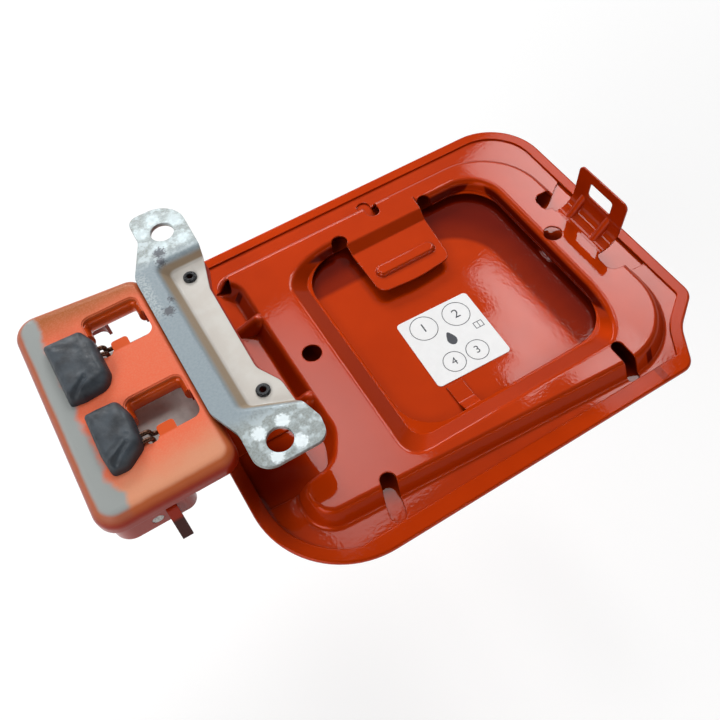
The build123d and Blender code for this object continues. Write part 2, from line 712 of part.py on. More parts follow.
def hinge_box():
    """Drawn hinge housing with its windows, spring tabs, deep well, bracket flange and stop blade."""
    box, well = box_corners(), well_corners()
    outer = prism(box, BOX_RIM, BOX_TOP)
    outer = fillet(level_edges(outer, BOX_TOP), BOX_ROUND)
    inner = prism(box, BOX_RIM - BOX_T, BOX_TOP - BOX_T, -BOX_T)
    inner = fillet(level_edges(inner, BOX_TOP - BOX_T), BOX_ROUND - BOX_T)
    body = outer - inner
    shelf = BOX_RIM + BOX_T
    hole = prism(well, WELL_FLOOR - BOX_T, BOX_TOP, -BOX_T)
    body += prism(well, WELL_FLOOR, shelf) - hole
    edge = PIN_X + WELL_X[1]
    ledge = prism(box, BOX_RIM, shelf) - hole
    body += ledge - box_at(edge, edge + FAR, -FAR, FAR, 0, FAR)
    mouth = (ARM_Y[0] - WELL_MOUTH[0], WELL_Y[1] - WELL_MOUTH[1])
    body -= box_at(edge - 4 * BOX_T, edge + 1, *mouth, WELL_FLOOR - 1, shelf + BOX_T)
    body += prism(flange_corners(), EAR_FLANGE_Z - BOX_T, EAR_FLANGE_Z) - inner
    for centre in WINDOW_CENTRES:
        body = body - window_cut(centre) + window_trim(centre)
    y = WELL_Y[0]
    slot = (PIN_X + BLADE_SLOT[0], PIN_X + BLADE_SLOT[1])
    body -= box_at(*slot, y - 0.6 * BOX_T, y + 1.2 * BOX_T, BOX_RIM - 3 * BOX_T, shelf + 0.1)
    body += stop_blade()
    for x, y in RIVETS:
        body -= drill(PIN_X + x, y, RIVET_SHANK)
    return body - cross_bar(PIN_Z, PIN_D)


def hinge_pin():
    """Straight pin between the two ends of the well."""
    y0, y1 = WELL_Y
    pin = Rot(90, 0, 0) * Cylinder(PIN_D / 2, y1 - y0)
    pin = chamfer(pin.edges().filter_by(GeomType.CIRCLE), 0.3)
    return Pos(PIN_X, (y0 + y1) / 2, PIN_Z) * pin


def bracket_corners():
    """Corners of the bracket's outline round its two ears."""
    return from_pin(BRACKET_OUTLINE)


def bracket_form(d):
    """Solid under one face of the bracket: d = 0 is the upper face, d = BRACKET_T the lower."""
    xs = [x for x, _, _ in BRACKET_OUTLINE]
    ys = [y for _, y, _ in BRACKET_OUTLINE]
    low, high = min(ys) - TRAY_SIDE, max(ys) + TRAY_SIDE
    body = box_at(PIN_X, PIN_X + max(xs) + TRAY_SIDE, low, high, 0, BRACKET_TOP - d)
    side, end, slant = TRAY_LEANS_ANGLE
    walls = [
        (PIN_X + TRAY_SIDE, 0, 0, side),
        (0, TRAY_END, 270, end),
        (PIN_X + TRAY_SLANT[0], TRAY_SLANT[1], TRAY_SLANT_ANGLE, slant),
    ]
    body -= hollow(walls, BRACKET_TOP, BRACKET_FLOOR, d, TRAY_CORNER)
    margin = 2 * BRACKET_T
    limits = (PIN_X + min(xs) + margin, PIN_X + max(xs) + TRAY_SIDE - margin, low + margin, high - margin)
    body = fillet(level_edges(body, BRACKET_TOP - d, limits), BRACKET_T + TRAY_SHOULDER - d)
    return fillet(level_edges(body, BRACKET_FLOOR - d, limits), TRAY_FOOT + d)


def mounting_bracket():
    """Pressed bracket with two bolt ears, a raised strip and a lower floor."""
    sheet = bracket_form(0.0) - bracket_form(BRACKET_T)
    sheet &= prism(bracket_corners(), 0, FAR)
    for x, y in EAR_HOLES:
        sheet -= drill(PIN_X + x, y, EAR_HOLE_D)
    for x, y in RIVETS:
        sheet -= drill(PIN_X + x, y, RIVET_SHANK)
    return sheet


def hollow_rivet(x, y):
    """Hollow rivet through the bracket floor and the box flange."""
    top = BRACKET_FLOOR
    low = EAR_FLANGE_Z - BOX_T
    body = Pos(0, 0, (top + low) / 2) * Cylinder(RIVET_SHANK / 2, top - low)
    head = Pos(0, 0, top + RIVET_RISE / 2) * Cylinder(RIVET_HEAD / 2, RIVET_RISE)
    head = fillet(head.edges().group_by(Axis.Z)[-1], RIVET_RISE / 2)
    tail = Pos(0, 0, low - RIVET_RISE / 3) * Cylinder(RIVET_HEAD / 2, RIVET_RISE * 2 / 3)
    return Pos(PIN_X + x, y, 0) * (body + head + tail - Cylinder(RIVET_BORE / 2, FAR))


def bent(points, radii):
    """Edges of a broken line whose inner corners are rounded."""
    spots = [Vector(*p) for p in points]
    cursor = spots[0]
    edges = []
    for before, at, after, r in zip(spots, spots[1:], spots[2:], radii):
        u1 = (before - at).normalized()
        u2 = (after - at).normalized()
        along = u1.dot(u2)
        half = ((1 - along) / 2) ** 0.5
        reach = r * ((1 + along) / 2) ** 0.5 / half
        near = r / half - r
        start = at + u1 * reach
        end = at + u2 * reach
        mid = at + (u1 + u2).normalized() * near
        if (start - cursor).length > 0.01:
            edges.append(Line(cursor, start))
        edges.append(ThreePointArc(start, mid, end))
        cursor = end
    edges.append(Line(cursor, spots[-1]))
    return edges


def torsion_spring(centre):
    """Coil on the pin, a leg under the arm and a hairpin hooked round the tab of the window."""
    length = COIL_TURNS * COIL_PITCH
    x = PIN_X + centre[0] - HOOK_X
    y1 = centre[1] - HOOK_Y
    y2 = y1 + HAIRPIN
    top = BOX_TOP + WIRE_D / 2
    under = BOX_TOP - BOX_T - WIRE_D / 2 - 0.2
    back = x - HAIRPIN_LENGTH
    coil = Rot(0, 180 - LEG_ANGLE, 0) * Helix(COIL_PITCH, length, COIL_R, direction=(0, 1, 0))
    out = coil % 1
    reach = (x - PIN_X - (coil @ 1).X) / out.X
    coil = Pos(PIN_X, y1 - length - out.Y * reach, PIN_Z) * coil
    start = coil @ 0
    end = coil @ 1
    leg = [Line(start - (coil % 0) * LEG_LENGTH, start)]
    turn = HAIRPIN / 2
    hook = bent(
        [
            end,
            end + out * reach,
            (x, y1, top),
            (back, y1, top),
            (back, y2, top),
            (x, y2, top),
            (x, y2, under),
            (x + HOOK_LENGTH, y2, under),
        ],
        (1.5 * WIRE_D, WIRE_D, turn, turn, 0.8 * WIRE_D, 0.8 * WIRE_D),
    )
    path = Wire(leg + [coil] + hook)
    return sweep(Plane(origin=path @ 0, z_dir=path % 0) * Circle(WIRE_D / 2), path=path)


def spring_sleeve(place, centre):
    """Rubber sleeve folded over the hairpin on top of the box."""
    x, y, w, l = place
    x += PIN_X
    z = BOX_TOP
    corners = [
        (x - w / 2, y - l / 2, 5),
        (x + w / 2, y - l / 2, 6),
        (x + w / 2, y + l / 2, 7),
        (x - w / 2, y + l / 2, 5),
    ]
    pad = prism(corners, z, z + SLEEVE_HEIGHT)
    pad = fillet(level_edges(pad, z + SLEEVE_HEIGHT), SLEEVE_ROUND)
    back = PIN_X + centre[0] - HOOK_X - HAIRPIN_LENGTH - WIRE_D / 2
    y1 = centre[1] - HOOK_Y
    side = WIRE_D / 2 + SLEEVE_PLAY
    top = z + WIRE_D + SLEEVE_PLAY
    return pad - box_at(back - SLEEVE_PLAY, x + w, y1 - side, y1 + HAIRPIN + side, z - 1, top)


NODES = {
    "outer_panel": outer_panel,
    "inner_panel": inner_panel,
    "fuel_label": fuel_label,
    "hinge_arm": hinge_arm,
    "hinge_box": hinge_box,
    "hinge_pin": hinge_pin,
    "mounting_bracket": mounting_bracket,
}
for side, spot, window, place in zip(("upper", "lower"), RIVETS, WINDOW_CENTRES, SLEEVES):
    NODES["rivet_" + side] = lambda at=spot: hollow_rivet(*at)
    NODES["spring_" + side] = lambda c=window: torsion_spring(c)
    NODES["sleeve_" + side] = lambda p=place, c=window: spring_sleeve(p, c)

if __name__ == "__main__":
    os.makedirs("parts", exist_ok=True)
    for name, make in NODES.items():
        export_step(make(), f"parts/{name}.step")
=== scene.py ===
"""Looks of a car fuel door and its sprung hinge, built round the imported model.

Sizes and places are millimetres in the model's own frame: X runs from the hinge edge to the latch
edge, Y along the hinge pin and Z from the outer skin towards the inside of the car. MM turns them
into metres. Paint, primer, bare zinc and rubber are procedural and read the pieces' own coordinates.
"""
import json
import logging
from dataclasses import dataclass
from enum import Enum
from functools import partial, reduce
from math import cos, hypot, pi, radians, sin, tan
from typing import Iterable, Optional, Sequence, Union

import bmesh
import bpy
from mathutils import Matrix, Vector, noise

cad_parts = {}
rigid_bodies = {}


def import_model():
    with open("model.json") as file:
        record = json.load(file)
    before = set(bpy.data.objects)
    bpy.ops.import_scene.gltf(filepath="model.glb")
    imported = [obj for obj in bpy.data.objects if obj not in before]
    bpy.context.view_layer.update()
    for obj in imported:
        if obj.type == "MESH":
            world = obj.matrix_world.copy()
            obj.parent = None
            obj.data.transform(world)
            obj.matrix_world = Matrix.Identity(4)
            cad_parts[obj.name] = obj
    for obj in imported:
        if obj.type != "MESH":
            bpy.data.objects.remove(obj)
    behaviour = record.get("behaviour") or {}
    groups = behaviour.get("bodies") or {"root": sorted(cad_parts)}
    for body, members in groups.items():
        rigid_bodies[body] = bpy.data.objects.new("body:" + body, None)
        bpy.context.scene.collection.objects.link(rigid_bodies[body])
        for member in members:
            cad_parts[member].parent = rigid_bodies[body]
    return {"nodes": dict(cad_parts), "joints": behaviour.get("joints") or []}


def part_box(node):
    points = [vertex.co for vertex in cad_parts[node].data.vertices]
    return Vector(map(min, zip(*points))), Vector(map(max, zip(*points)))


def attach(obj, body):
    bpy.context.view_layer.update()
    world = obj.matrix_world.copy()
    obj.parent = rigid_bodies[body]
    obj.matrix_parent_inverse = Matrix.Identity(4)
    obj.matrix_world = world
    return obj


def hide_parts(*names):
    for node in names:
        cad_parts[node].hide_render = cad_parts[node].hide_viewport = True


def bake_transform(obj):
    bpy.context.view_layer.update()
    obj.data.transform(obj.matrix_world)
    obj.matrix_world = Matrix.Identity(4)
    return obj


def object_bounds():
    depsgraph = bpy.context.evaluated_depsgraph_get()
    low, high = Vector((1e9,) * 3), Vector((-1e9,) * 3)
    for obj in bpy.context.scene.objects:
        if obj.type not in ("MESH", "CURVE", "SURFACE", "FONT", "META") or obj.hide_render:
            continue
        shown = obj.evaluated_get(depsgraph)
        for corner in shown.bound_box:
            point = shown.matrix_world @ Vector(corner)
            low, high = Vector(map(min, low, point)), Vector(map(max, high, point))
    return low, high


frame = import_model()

MM = 0.001
CAD_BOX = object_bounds()
PIN = frame["joints"][0]["pos_m"]
BEVEL_SAMPLES = 6
log = logging.getLogger("fuel_door")

Colour = tuple[float, float, float]
Point = tuple[float, float]
Spot = tuple[float, float, float]
Socket = bpy.types.NodeSocket
Node = bpy.types.Node
Object = bpy.types.Object
Mesh = bpy.types.Mesh
Material = bpy.types.Material
Value = Union[float, Socket]
Tint = Union[Colour, Socket]


class Body(Enum):
    """The two bodies of the hinge."""

    HINGE = "hinge"
    DOOR = "door"


@dataclass(frozen=True)
class Grain:
    """Noise: feature width in millimetres, finer layers, where its tone turns, stretch along each axis."""

    size: float
    detail: float = 3.0
    step: Point = (0.3, 0.7)
    stretch: Spot = (1.0, 1.0, 1.0)


class Nodes:
    """Grows the node tree of a material, a lamp, the world or a geometry."""

    def __init__(self, tree: bpy.types.NodeTree) -> None:
        """Work on that tree."""
        self.tree = tree

    def add(self, kind: str, values: Optional[dict] = None, **settings: object) -> Node:
        """Add a node and feed it.

        Args:
            kind: The node's type name.
            values: Input name or index to a socket or a constant.
            settings: Properties to set on it.

        Returns:
            The new node.
        """
        node = self.tree.nodes.new(kind)
        for name, value in settings.items():
            setattr(node, name, value)
        self.feed(node, values or {})
        return node

    def feed(self, node: Node, values: dict) -> None:
        """Link sockets or set constants on a node's inputs.

        Args:
            node: The node to feed.
            values: Input name or index to a socket, a constant or, as a tuple, a colour.
        """
        for key, value in values.items():
            if isinstance(value, Socket):
                self.tree.links.new(value, node.inputs[key])
            elif isinstance(value, tuple):
                node.inputs[key].default_value = (*value, 1.0)
            else:
                node.inputs[key].default_value = value

    def math(self, operation: str, a: Value, b: Value) -> Socket:
        """Result of one Math node, by the operation's name."""
        return self.add("ShaderNodeMath", {0: a, 1: b}, operation=operation).outputs[0]

    def times(self, *values: Value) -> Socket:
        """Product of several values."""
        return reduce(partial(self.math, "MULTIPLY"), values)

    def largest(self, values: Iterable[Value]) -> Socket:
        """The largest of several values."""
        return reduce(partial(self.math, "MAXIMUM"), values)

    def length(self, dx: Value, dy: Value) -> Socket:
        """Length of a sideways offset."""
        square = self.math("ADD", self.times(dx, dx), self.times(dy, dy))
        return self.math("SQRT", square, 0.0)

    def smooth(self, value: Value, low: float, high: float, to: Point = (0.0, 1.0)) -> Socket:
        """Soft step of a value from low to high, with results to; it falls when high is below low."""
        values = {0: value, 1: low, 2: high, 3: to[0], 4: to[1]}
        return self.add("ShaderNodeMapRange", values, interpolation_type="SMOOTHSTEP").outputs[0]


class Shade(Nodes):
    """Grows one material on a piece's own coordinates in millimetres."""

    def __init__(self, name: str) -> None:
        """Start a material of that name with a Principled shader."""
        self.material = bpy.data.materials.new(name)
        self.material.use_nodes = True
        super().__init__(self.material.node_tree)
        self.shader = self.tree.nodes["Principled BSDF"]
        place = self.add("ShaderNodeTexCoord").outputs["Object"]
        scale = self.add("ShaderNodeVectorMath", {0: place, "Scale": 1 / MM}, operation="SCALE")
        self.mm = scale.outputs[0]
        self.x, self.y, self.z = self.add("ShaderNodeSeparateXYZ", {0: self.mm}).outputs

    def grain(self, pattern: Grain) -> Socket:
        """Noise of a pattern.

        Args:
            pattern: Its size and detail.

        Returns:
            The noise's socket, from 0 to 1.
        """
        shrink = [1 / (pattern.size * s) for s in pattern.stretch]
        turn = self.add("ShaderNodeMapping", {0: self.mm, "Scale": shrink})
        values = {"Vector": turn.outputs[0], "Scale": 1.0, "Detail": pattern.detail}
        return self.add("ShaderNodeTexNoise", values).outputs[0]

    def mottle(self, pattern: Grain, to: Point = (0.0, 1.0)) -> Socket:
        """Patches of a pattern that go softly from one result to the other."""
        return self.smooth(self.grain(pattern), *pattern.step, to)

    def drift(self, noisy: Socket, reach: float) -> Socket:
        """Noise from 0 to 1 as a shift to both sides, reach millimetres from end to end."""
        return self.times(self.math("SUBTRACT", noisy, 0.5), reach)

    def blot(self, centre: Point, patch: Spot, wobble: Socket) -> Socket:
        """Mask of a ragged round patch seen along Z.

        Args:
            centre: Patch centre in millimetres.
            patch: Its radius, its soft edge and how far the noise moves that edge.
            wobble: Noise that frays the edge.

        Returns:
            Socket that is 1 inside the patch.
        """
        radius, edge, fray = patch
        dx = self.math("SUBTRACT", self.x, centre[0])
        dy = self.math("SUBTRACT", self.y, centre[1])
        far = self.math("ADD", self.length(dx, dy), self.drift(wobble, 2 * fray))
        return self.smooth(far, radius + edge, radius - edge)

    def within(self, axis: Socket, low: float, high: float, edge: float) -> Socket:
        """Mask of the band from low to high along one axis, with soft edges."""
        rise = self.smooth(axis, low - edge, low + edge)
        return self.times(rise, self.smooth(axis, high + edge, high - edge))

    def mix(self, factor: Value, a: Tint, b: Tint) -> Socket:
        """Blend of two colours; factor 0 gives a and 1 gives b."""
        return self.add("ShaderNodeMix", {0: factor, 6: a, 7: b}, data_type="RGBA").outputs[2]

    def relief(self, height: Socket, depth: float, edge: float = 0.0) -> Socket:
        """Normal of a fine relief, with worn-round sheet edges.

        Args:
            height: Relief from 0 to 1.
            depth: Its depth in millimetres.
            edge: Radius of the rounded edges in millimetres.

        Returns:
            The normal's socket.
        """
        bump = self.add("ShaderNodeBump", {"Strength": 1.0, "Distance": depth * MM, "Height": height})
        if edge:
            bevel = self.add("ShaderNodeBevel", {"Radius": edge * MM}, samples=BEVEL_SAMPLES)
            self.feed(bump, {"Normal": bevel.outputs[0]})
        return bump.outputs[0]

    def coat(self, weight: Value, roughness: Value, ior: float, normal: Socket) -> None:
        """Lay a clear coat with its own surface over the shader."""
        self.feed(self.shader, {"Coat Weight": weight, "Coat Roughness": roughness})
        self.feed(self.shader, {"Coat IOR": ior, "Coat Normal": normal})

    def finish(self, colour: Tint, roughness: Value, normal: Socket) -> Material:
        """Feed the shader and give the finished material."""
        self.feed(self.shader, {"Base Color": colour, "Roughness": roughness, "Normal": normal})
        return self.material


@dataclass(frozen=True)
class BodyPaint:
    """Gloss burnt orange flake paint with a fine peel; a dark colour paints the shade in the recesses and
    the lower ear's shadow.
    """

    name: str = "gloss_orange"
    deep: Colour = (0.415, 0.030, 0.0005)
    bright: Colour = (0.44, 0.033, 0.0008)
    # Colour of the painted shade, painted dark reflection and painted shadow, not a colour of the paint
    # itself.
    dark: Colour = (0.09, 0.002, 0.0003)
    dark_cover: float = 0.9
    flake: float = 0.45
    roughness: Point = (0.48, 0.52)
    coat_roughness: float = 0.025
    coat_ior: float = 1.3
    cloud: Grain = Grain(34.0, 2.0, (0.35, 0.65))
    haze: Grain = Grain(9.0)
    peel: Grain = Grain(1.4, 2.0)
    swell: Grain = Grain(5.0, 1.0)
    swell_share: float = 0.5
    peel_depth: float = 0.014
    edge: float = 0.7
    # The fields below place the painted shade: on the skin, on the drawn walls and under the lower ear.
    lit_corner: Point = (26.0, 10.0)
    lit_rim: Point = (24.0, 27.5)
    lit_fade: Point = (27.0, 43.0)
    rim_share: float = 0.75
    skin_z: Spot = (0.5, 1.2, 0.1)
    mouth_x: Point = (73.0, 72.6)
    mouth_y: Point = (57.0, 56.6)
    wall_x: Point = (68.8, 69.6)
    wall_y: Point = (52.9, 53.7)
    dark_wall_z: Spot = (2.5, 7.6, 0.9)
    tongue_x: Point = (-13.0, 36.0)
    tongue_y: Point = (15.0, 62.0)
    dark_edge: float = 0.3
    gloss_edge: float = 0.5
    wall_z: Spot = (2.2, 8.9, 0.4)
    wall_gloss: float = 0.3
    # Painted shadow under the lower ear: where it lies, how big and how soft it is, and below which
    # height.
    pocket: Point = (-97.0, -34.0)
    pocket_patch: Spot = (17.0, 12.0, 2.0)
    pocket_z: Point = (3.6, 2.8)

    def tint(self, s: Shade) -> Socket:
        """Cloudy paint colour."""
        return s.mix(s.mottle(self.cloud), self.deep, self.bright)

    def recess(self, s: Shade) -> Socket:
        """Mask of painted shade and painted dark reflection on the skin and walls under the opening's
        upper and latch sides, and of the painted shadow under the lower ear.

        Args:
            s: The material.

        Returns:
            The mask's socket.
        """
        dx = s.math("MAXIMUM", s.math("SUBTRACT", s.x, self.lit_corner[0]), 0.0)
        dy = s.math("MAXIMUM", s.math("SUBTRACT", s.y, self.lit_corner[1]), 0.0)
        far = s.length(dx, dy)
        rim = s.smooth(far, *self.lit_rim, (0.0, self.rim_share))
        deeper = s.smooth(far, *self.lit_fade, (0.0, 1 - self.rim_share))
        skin = s.times(s.math("ADD", rim, deeper), s.within(s.z, *self.skin_z))
        beside = s.math("SUBTRACT", 1.0, s.within(s.x, *self.tongue_x, self.dark_edge))
        upper = s.times(s.smooth(s.y, *self.wall_y), beside)
        wall = s.largest([s.smooth(s.x, *self.wall_x), upper])
        wall = s.times(wall, s.within(s.z, *self.dark_wall_z))
        inside = s.times(s.smooth(s.x, *self.mouth_x), s.smooth(s.y, *self.mouth_y))
        # Painted shadow under the lower ear.
        pocket = s.blot(self.pocket, self.pocket_patch, s.grain(self.haze))
        pocket = s.times(pocket, s.smooth(s.z, *self.pocket_z))
        return s.times(s.largest([skin, wall, pocket]), inside)

    def gloss(self, s: Shade) -> Socket:
        """Weight of the clear coat, which is weaker on the drawn walls.

        Args:
            s: The material.

        Returns:
            The weight's socket.
        """
        across = s.within(s.x, *self.tongue_x, self.gloss_edge)
        tongue = s.times(across, s.within(s.y, *self.tongue_y, self.gloss_edge))
        wall = s.times(s.within(s.z, *self.wall_z), s.math("SUBTRACT", 1.0, tongue))
        return s.smooth(wall, 0.0, 1.0, (1.0, self.wall_gloss))

    def sparkle(self, s: Shade) -> Value:
        """Share of metal flakes in the paint."""
        return self.flake

    def make(self) -> Material:
        """Build the material.

        Returns:
            The finished material.
        """
        s = Shade(self.name)
        peel = s.math("ADD", s.grain(self.peel), s.times(s.grain(self.swell), self.swell_share))
        normal = s.relief(peel, self.peel_depth, self.edge)
        # Painted shade: the dark colour is laid over the paint where the mask says.
        colour = s.mix(s.times(self.recess(s), self.dark_cover), self.tint(s), self.dark)
        s.coat(self.gloss(s), self.coat_roughness, self.coat_ior, normal)
        s.feed(s.shader, {"Specular IOR Level": 0.0, "Metallic": self.sparkle(s)})
        return s.finish(colour, s.mottle(self.haze, self.roughness), normal)


@dataclass(frozen=True)
class ArmPaint(BodyPaint):
    """Body paint on the arm's neck that fades to bare primer inside the hinge box."""

    name: str = "arm_orange_over_primer"
    primer: Colour = (0.80, 0.78, 0.745)
    dust: Colour = (0.70, 0.68, 0.645)
    dusting: Grain = Grain(3.0)
    ragged: Grain = Grain(5.0)
    ragged_depth: float = 4.0
    fade: Point = (-112.0, -105.0)

    def painted(self, s: Shade) -> Socket:
        """Mask of the paint outside the box."""
        ragged = s.times(s.grain(self.ragged), self.ragged_depth)
        return s.smooth(s.math("ADD", s.x, ragged), *self.fade)

    def sparkle(self, s: Shade) -> Value:
        """Flakes outside the box and none in the primer."""
        return s.times(self.painted(s), self.flake)

    def tint(self, s: Shade) -> Socket:
        """Orange outside the box and primer inside it."""
        dusty = s.mix(s.mottle(self.dusting), self.primer, self.dust)
        return s.mix(self.painted(s), dusty, super().tint(s))


@dataclass(frozen=True)
class BoxPaint:
    """Thin orange overspray on the hinge box that lets the grey primer through along its edges; a painted
    highlight lies on its lower end and painted shade on the blade.
    """

    salmon: Colour = (0.86, 0.155, 0.066)
    tan: Colour = (0.42, 0.105, 0.018)
    # Painted highlight: the broad sheen on the lower end of the top.
    peach: Colour = (0.74, 0.305, 0.170)
    speck: Colour = (0.80, 0.36, 0.22)
    primer: Colour = (0.34, 0.36, 0.35)
    rim: Colour = (0.50, 0.090, 0.014)
    wall: Colour = (0.36, 0.020, 0.003)
    # Painted shade: near-black colour of the walls past the lower end, with the blade.
    blade: Colour = (0.05, 0.006, 0.003)
    tab: Colour = (0.72, 0.085, 0.006)
    ragged: Grain = Grain(11.0, 4.0)
    reach: float = 9.0
    rise: float = 0.06
    specks: Grain = Grain(0.7, 2.0, (0.35, 0.75))
    speck_share: float = 0.16
    rim_cover: float = 0.85
    rim_from: Point = (35.75, 34.9)
    top_from: Point = (31.6, 34.6)
    blade_y: Point = (-36.6, -37.6)
    band_x: Point = (-152.8, -156.2)
    heel_y: Point = (-14.0, -31.0)
    heel_shift: float = 3.5
    upper_y: Point = (52.0, 68.0)
    lower_y: Point = (-12.0, -29.0)
    tabs_y: tuple[Spot, ...] = ((35.6, 41.0, 0.6), (-11.4, -6.0, 0.6))
    tab_x: Spot = (-131.2, -122.6, 0.5)
    skin: Grain = Grain(1.3)
    skin_depth: float = 0.012
    edge: float = 0.3
    roughness: Point = (0.36, 0.5)
    specular: float = 0.12
    coat: float = 0.45
    coat_roughness: Point = (0.07, 0.36)
    coat_ior: float = 1.3

    def make(self) -> Material:
        """Build the material.

        Returns:
            The finished material.
        """
        s = Shade("thin_orange_over_primer")
        drift = s.drift(s.grain(self.ragged), self.reach)
        height = s.math("ADD", s.z, s.times(drift, self.rise))
        top = s.smooth(height, *self.top_from)
        along = s.math("ADD", s.y, drift)
        heel = s.smooth(s.y, *self.heel_y, (0.0, self.heel_shift))
        across = s.math("SUBTRACT", s.math("ADD", s.x, drift), heel)
        film = s.mix(s.smooth(along, *self.upper_y), self.salmon, self.tan)
        # Painted highlight towards the lower end of the top.
        film = s.mix(s.smooth(along, *self.lower_y), film, self.peach)
        film = s.mix(s.mottle(self.specks, (0.0, self.speck_share)), film, self.speck)
        film = s.mix(s.smooth(across, *self.band_x), film, self.primer)
        film = s.mix(s.times(s.smooth(height, *self.rim_from), self.rim_cover), film, self.rim)
        tabs = s.largest([s.within(s.y, *tab) for tab in self.tabs_y])
        film = s.mix(s.times(tabs, s.within(s.x, *self.tab_x)), film, self.tab)
        # Painted shade: the walls past the lower end, with the blade, go near black.
        wall = s.mix(s.smooth(s.y, *self.blade_y), self.wall, self.blade)
        colour = s.mix(top, wall, film)
        normal = s.relief(s.grain(self.skin), self.skin_depth, self.edge)
        s.coat(self.coat, s.smooth(top, 0.0, 1.0, self.coat_roughness), self.coat_ior, normal)
        s.feed(s.shader, {"Specular IOR Level": self.specular})
        return s.finish(colour, s.smooth(top, 0.0, 1.0, self.roughness), normal)


@dataclass(frozen=True)
class GalvanisedSteel:
    """Zinc-coated bracket: mottled bare ears, a painted strip, brown dust on its slopes, a pale floor."""

    zinc: Colour = (0.32, 0.36, 0.36)
    zinc_light: Colour = (0.45, 0.51, 0.525)
    zinc_dark: Colour = (0.235, 0.255, 0.245)
    strip: Colour = (0.27, 0.335, 0.375)
    strip_light: Colour = (0.32, 0.385, 0.42)
    slope: Colour = (0.36, 0.265, 0.175)
    floor: Colour = (0.64, 0.595, 0.54)
    floor_light: Colour = (0.68, 0.65, 0.60)
    blotch: Colour = (0.70, 0.77, 0.79)
    faint: Colour = (0.62, 0.72, 0.75)
    smudge: Colour = (0.07, 0.07, 0.085)
    ragged: Grain = Grain(3.2, 4.0, (0.46, 0.66))
    fine: Grain = Grain(1.1, 4.0)
    tiny: Grain = Grain(0.5, 2.0)
    pale: Grain = Grain(8.0, 3.0, (0.35, 0.7))
    reach: float = 10.0
    rise: float = 0.05
    zinc_step: Point = (0.36, 0.62)
    upper_ear: Point = (66.0, 74.0)
    lower_ear: Point = (-19.0, -29.0)
    floor_z: Point = (32.9, 31.8)
    slope_z: Point = (37.2, 34.6)
    slope_cover: Point = (0.55, 1.0)
    lower_marks: tuple[Point, ...] = ((-96.9, -32.2), (-86.6, -32.0), (-84.6, -43.4), (-95.0, -44.2))
    lower_patch: Spot = (2.9, 0.8, 1.9)
    upper_marks: tuple[Point, ...] = (
        (-96.6, 87.6), (-88.9, 93.0), (-79.9, 88.4), (-81.0, 75.5), (-92.0, 76.4),
    )
    upper_patch: Spot = (3.6, 1.6, 4.0)
    upper_cover: float = 0.5
    dirt: tuple[Spot, ...] = (
        (-93.7, 73.2, 2.6), (-95.4, 68.0, 1.9), (-102.9, 40.7, 2.4), (-99.6, 46.6, 1.3),
    )
    dirt_edge: Point = (1.0, 3.4)
    dirt_cover: float = 0.85
    streak_y: Spot = (41.0, 66.0, 5.0)
    streak_x: Point = (-103.0, -106.0)
    streak_step: Point = (0.44, 0.56)
    metal: Point = (0.55, 0.2)
    roughness: Point = (0.34, 0.56)
    depth: float = 0.03
    edge: float = 0.4

    def make(self) -> Material:
        """Build the material.

        Returns:
            The finished material.
        """
        s = Shade("galvanised_steel")
        ragged, fine = s.grain(self.ragged), s.grain(self.fine)
        drift = s.drift(ragged, self.reach)
        along = s.math("ADD", s.y, drift)
        ear = s.largest([s.smooth(along, *self.upper_ear), s.smooth(along, *self.lower_ear)])
        zinc = s.mix(s.smooth(fine, *self.zinc_step), self.zinc_dark, self.zinc)
        zinc = s.mix(s.smooth(ragged, *self.ragged.step), zinc, self.zinc_light)
        strip = s.mix(s.smooth(fine, *self.fine.step), self.strip, self.strip_light)
        side = s.times(s.within(s.y, *self.streak_y), s.smooth(s.x, *self.streak_x))
        worn = s.times(side, s.smooth(fine, *self.streak_step))
        colour = s.mix(worn, s.mix(ear, strip, zinc), self.zinc_light)
        lower = s.largest([s.blot(at, self.lower_patch, fine) for at in self.lower_marks])
        upper = s.largest([s.blot(at, self.upper_patch, fine) for at in self.upper_marks])
        colour = s.mix(lower, colour, self.blotch)
        colour = s.mix(s.times(upper, self.upper_cover), colour, self.faint)
        soot = s.largest([s.blot((x, y), (r, *self.dirt_edge), fine) for x, y, r in self.dirt])
        colour = s.mix(s.times(soot, self.dirt_cover), colour, self.smudge)
        slope = s.smooth(s.math("ADD", s.z, s.times(drift, self.rise)), *self.slope_z)
        slope = s.times(slope, s.smooth(ear, 1.0, 0.0, self.slope_cover))
        floor = s.mix(s.mottle(self.pale), self.floor, self.floor_light)
        colour = s.mix(s.smooth(s.z, *self.floor_z), s.mix(slope, colour, self.slope), floor)
        rough = s.smooth(fine, *self.fine.step, self.roughness)
        normal = s.relief(s.math("ADD", fine, s.grain(self.tiny)), self.depth, self.edge)
        s.feed(s.shader, {"Metallic": s.times(ear, s.smooth(slope, 0.0, 1.0, self.metal))})
        return s.finish(colour, rough, normal)


class SteelKind(Enum):
    """Small steel pieces: name, dark tone, light tone and roughness."""

    DRAWN = ("drawn_steel", (0.30, 0.28, 0.26), (0.44, 0.42, 0.40), (0.24, 0.42))
    BLACKENED = ("blackened_steel", (0.012, 0.012, 0.013), (0.05, 0.052, 0.056), (0.22, 0.40))
    OILED = ("oiled_spring_steel", (0.075, 0.030, 0.016), (0.105, 0.045, 0.024), (0.18, 0.36))


@dataclass(frozen=True)
class SmallSteel:
    """Steel of a pin, a rivet or a spring, with fine drawing marks."""

    kind: SteelKind
    marks: Grain = Grain(0.8, 4.0)
    tone_step: Point = (0.35, 0.7)
    metal: float = 0.75
    depth: float = 0.004
    edge: float = 0.2

    def make(self) -> Material:
        """Build the material.

        Returns:
            The finished material.
        """
        name, dark, light, roughness = self.kind.value
        s = Shade(name)
        marks = s.grain(self.marks)
        colour = s.mix(s.smooth(marks, *self.tone_step), dark, light)
        rough = s.smooth(marks, *self.marks.step, roughness)
        s.feed(s.shader, {"Metallic": self.metal})
        return s.finish(colour, rough, s.relief(marks, self.depth, self.edge))


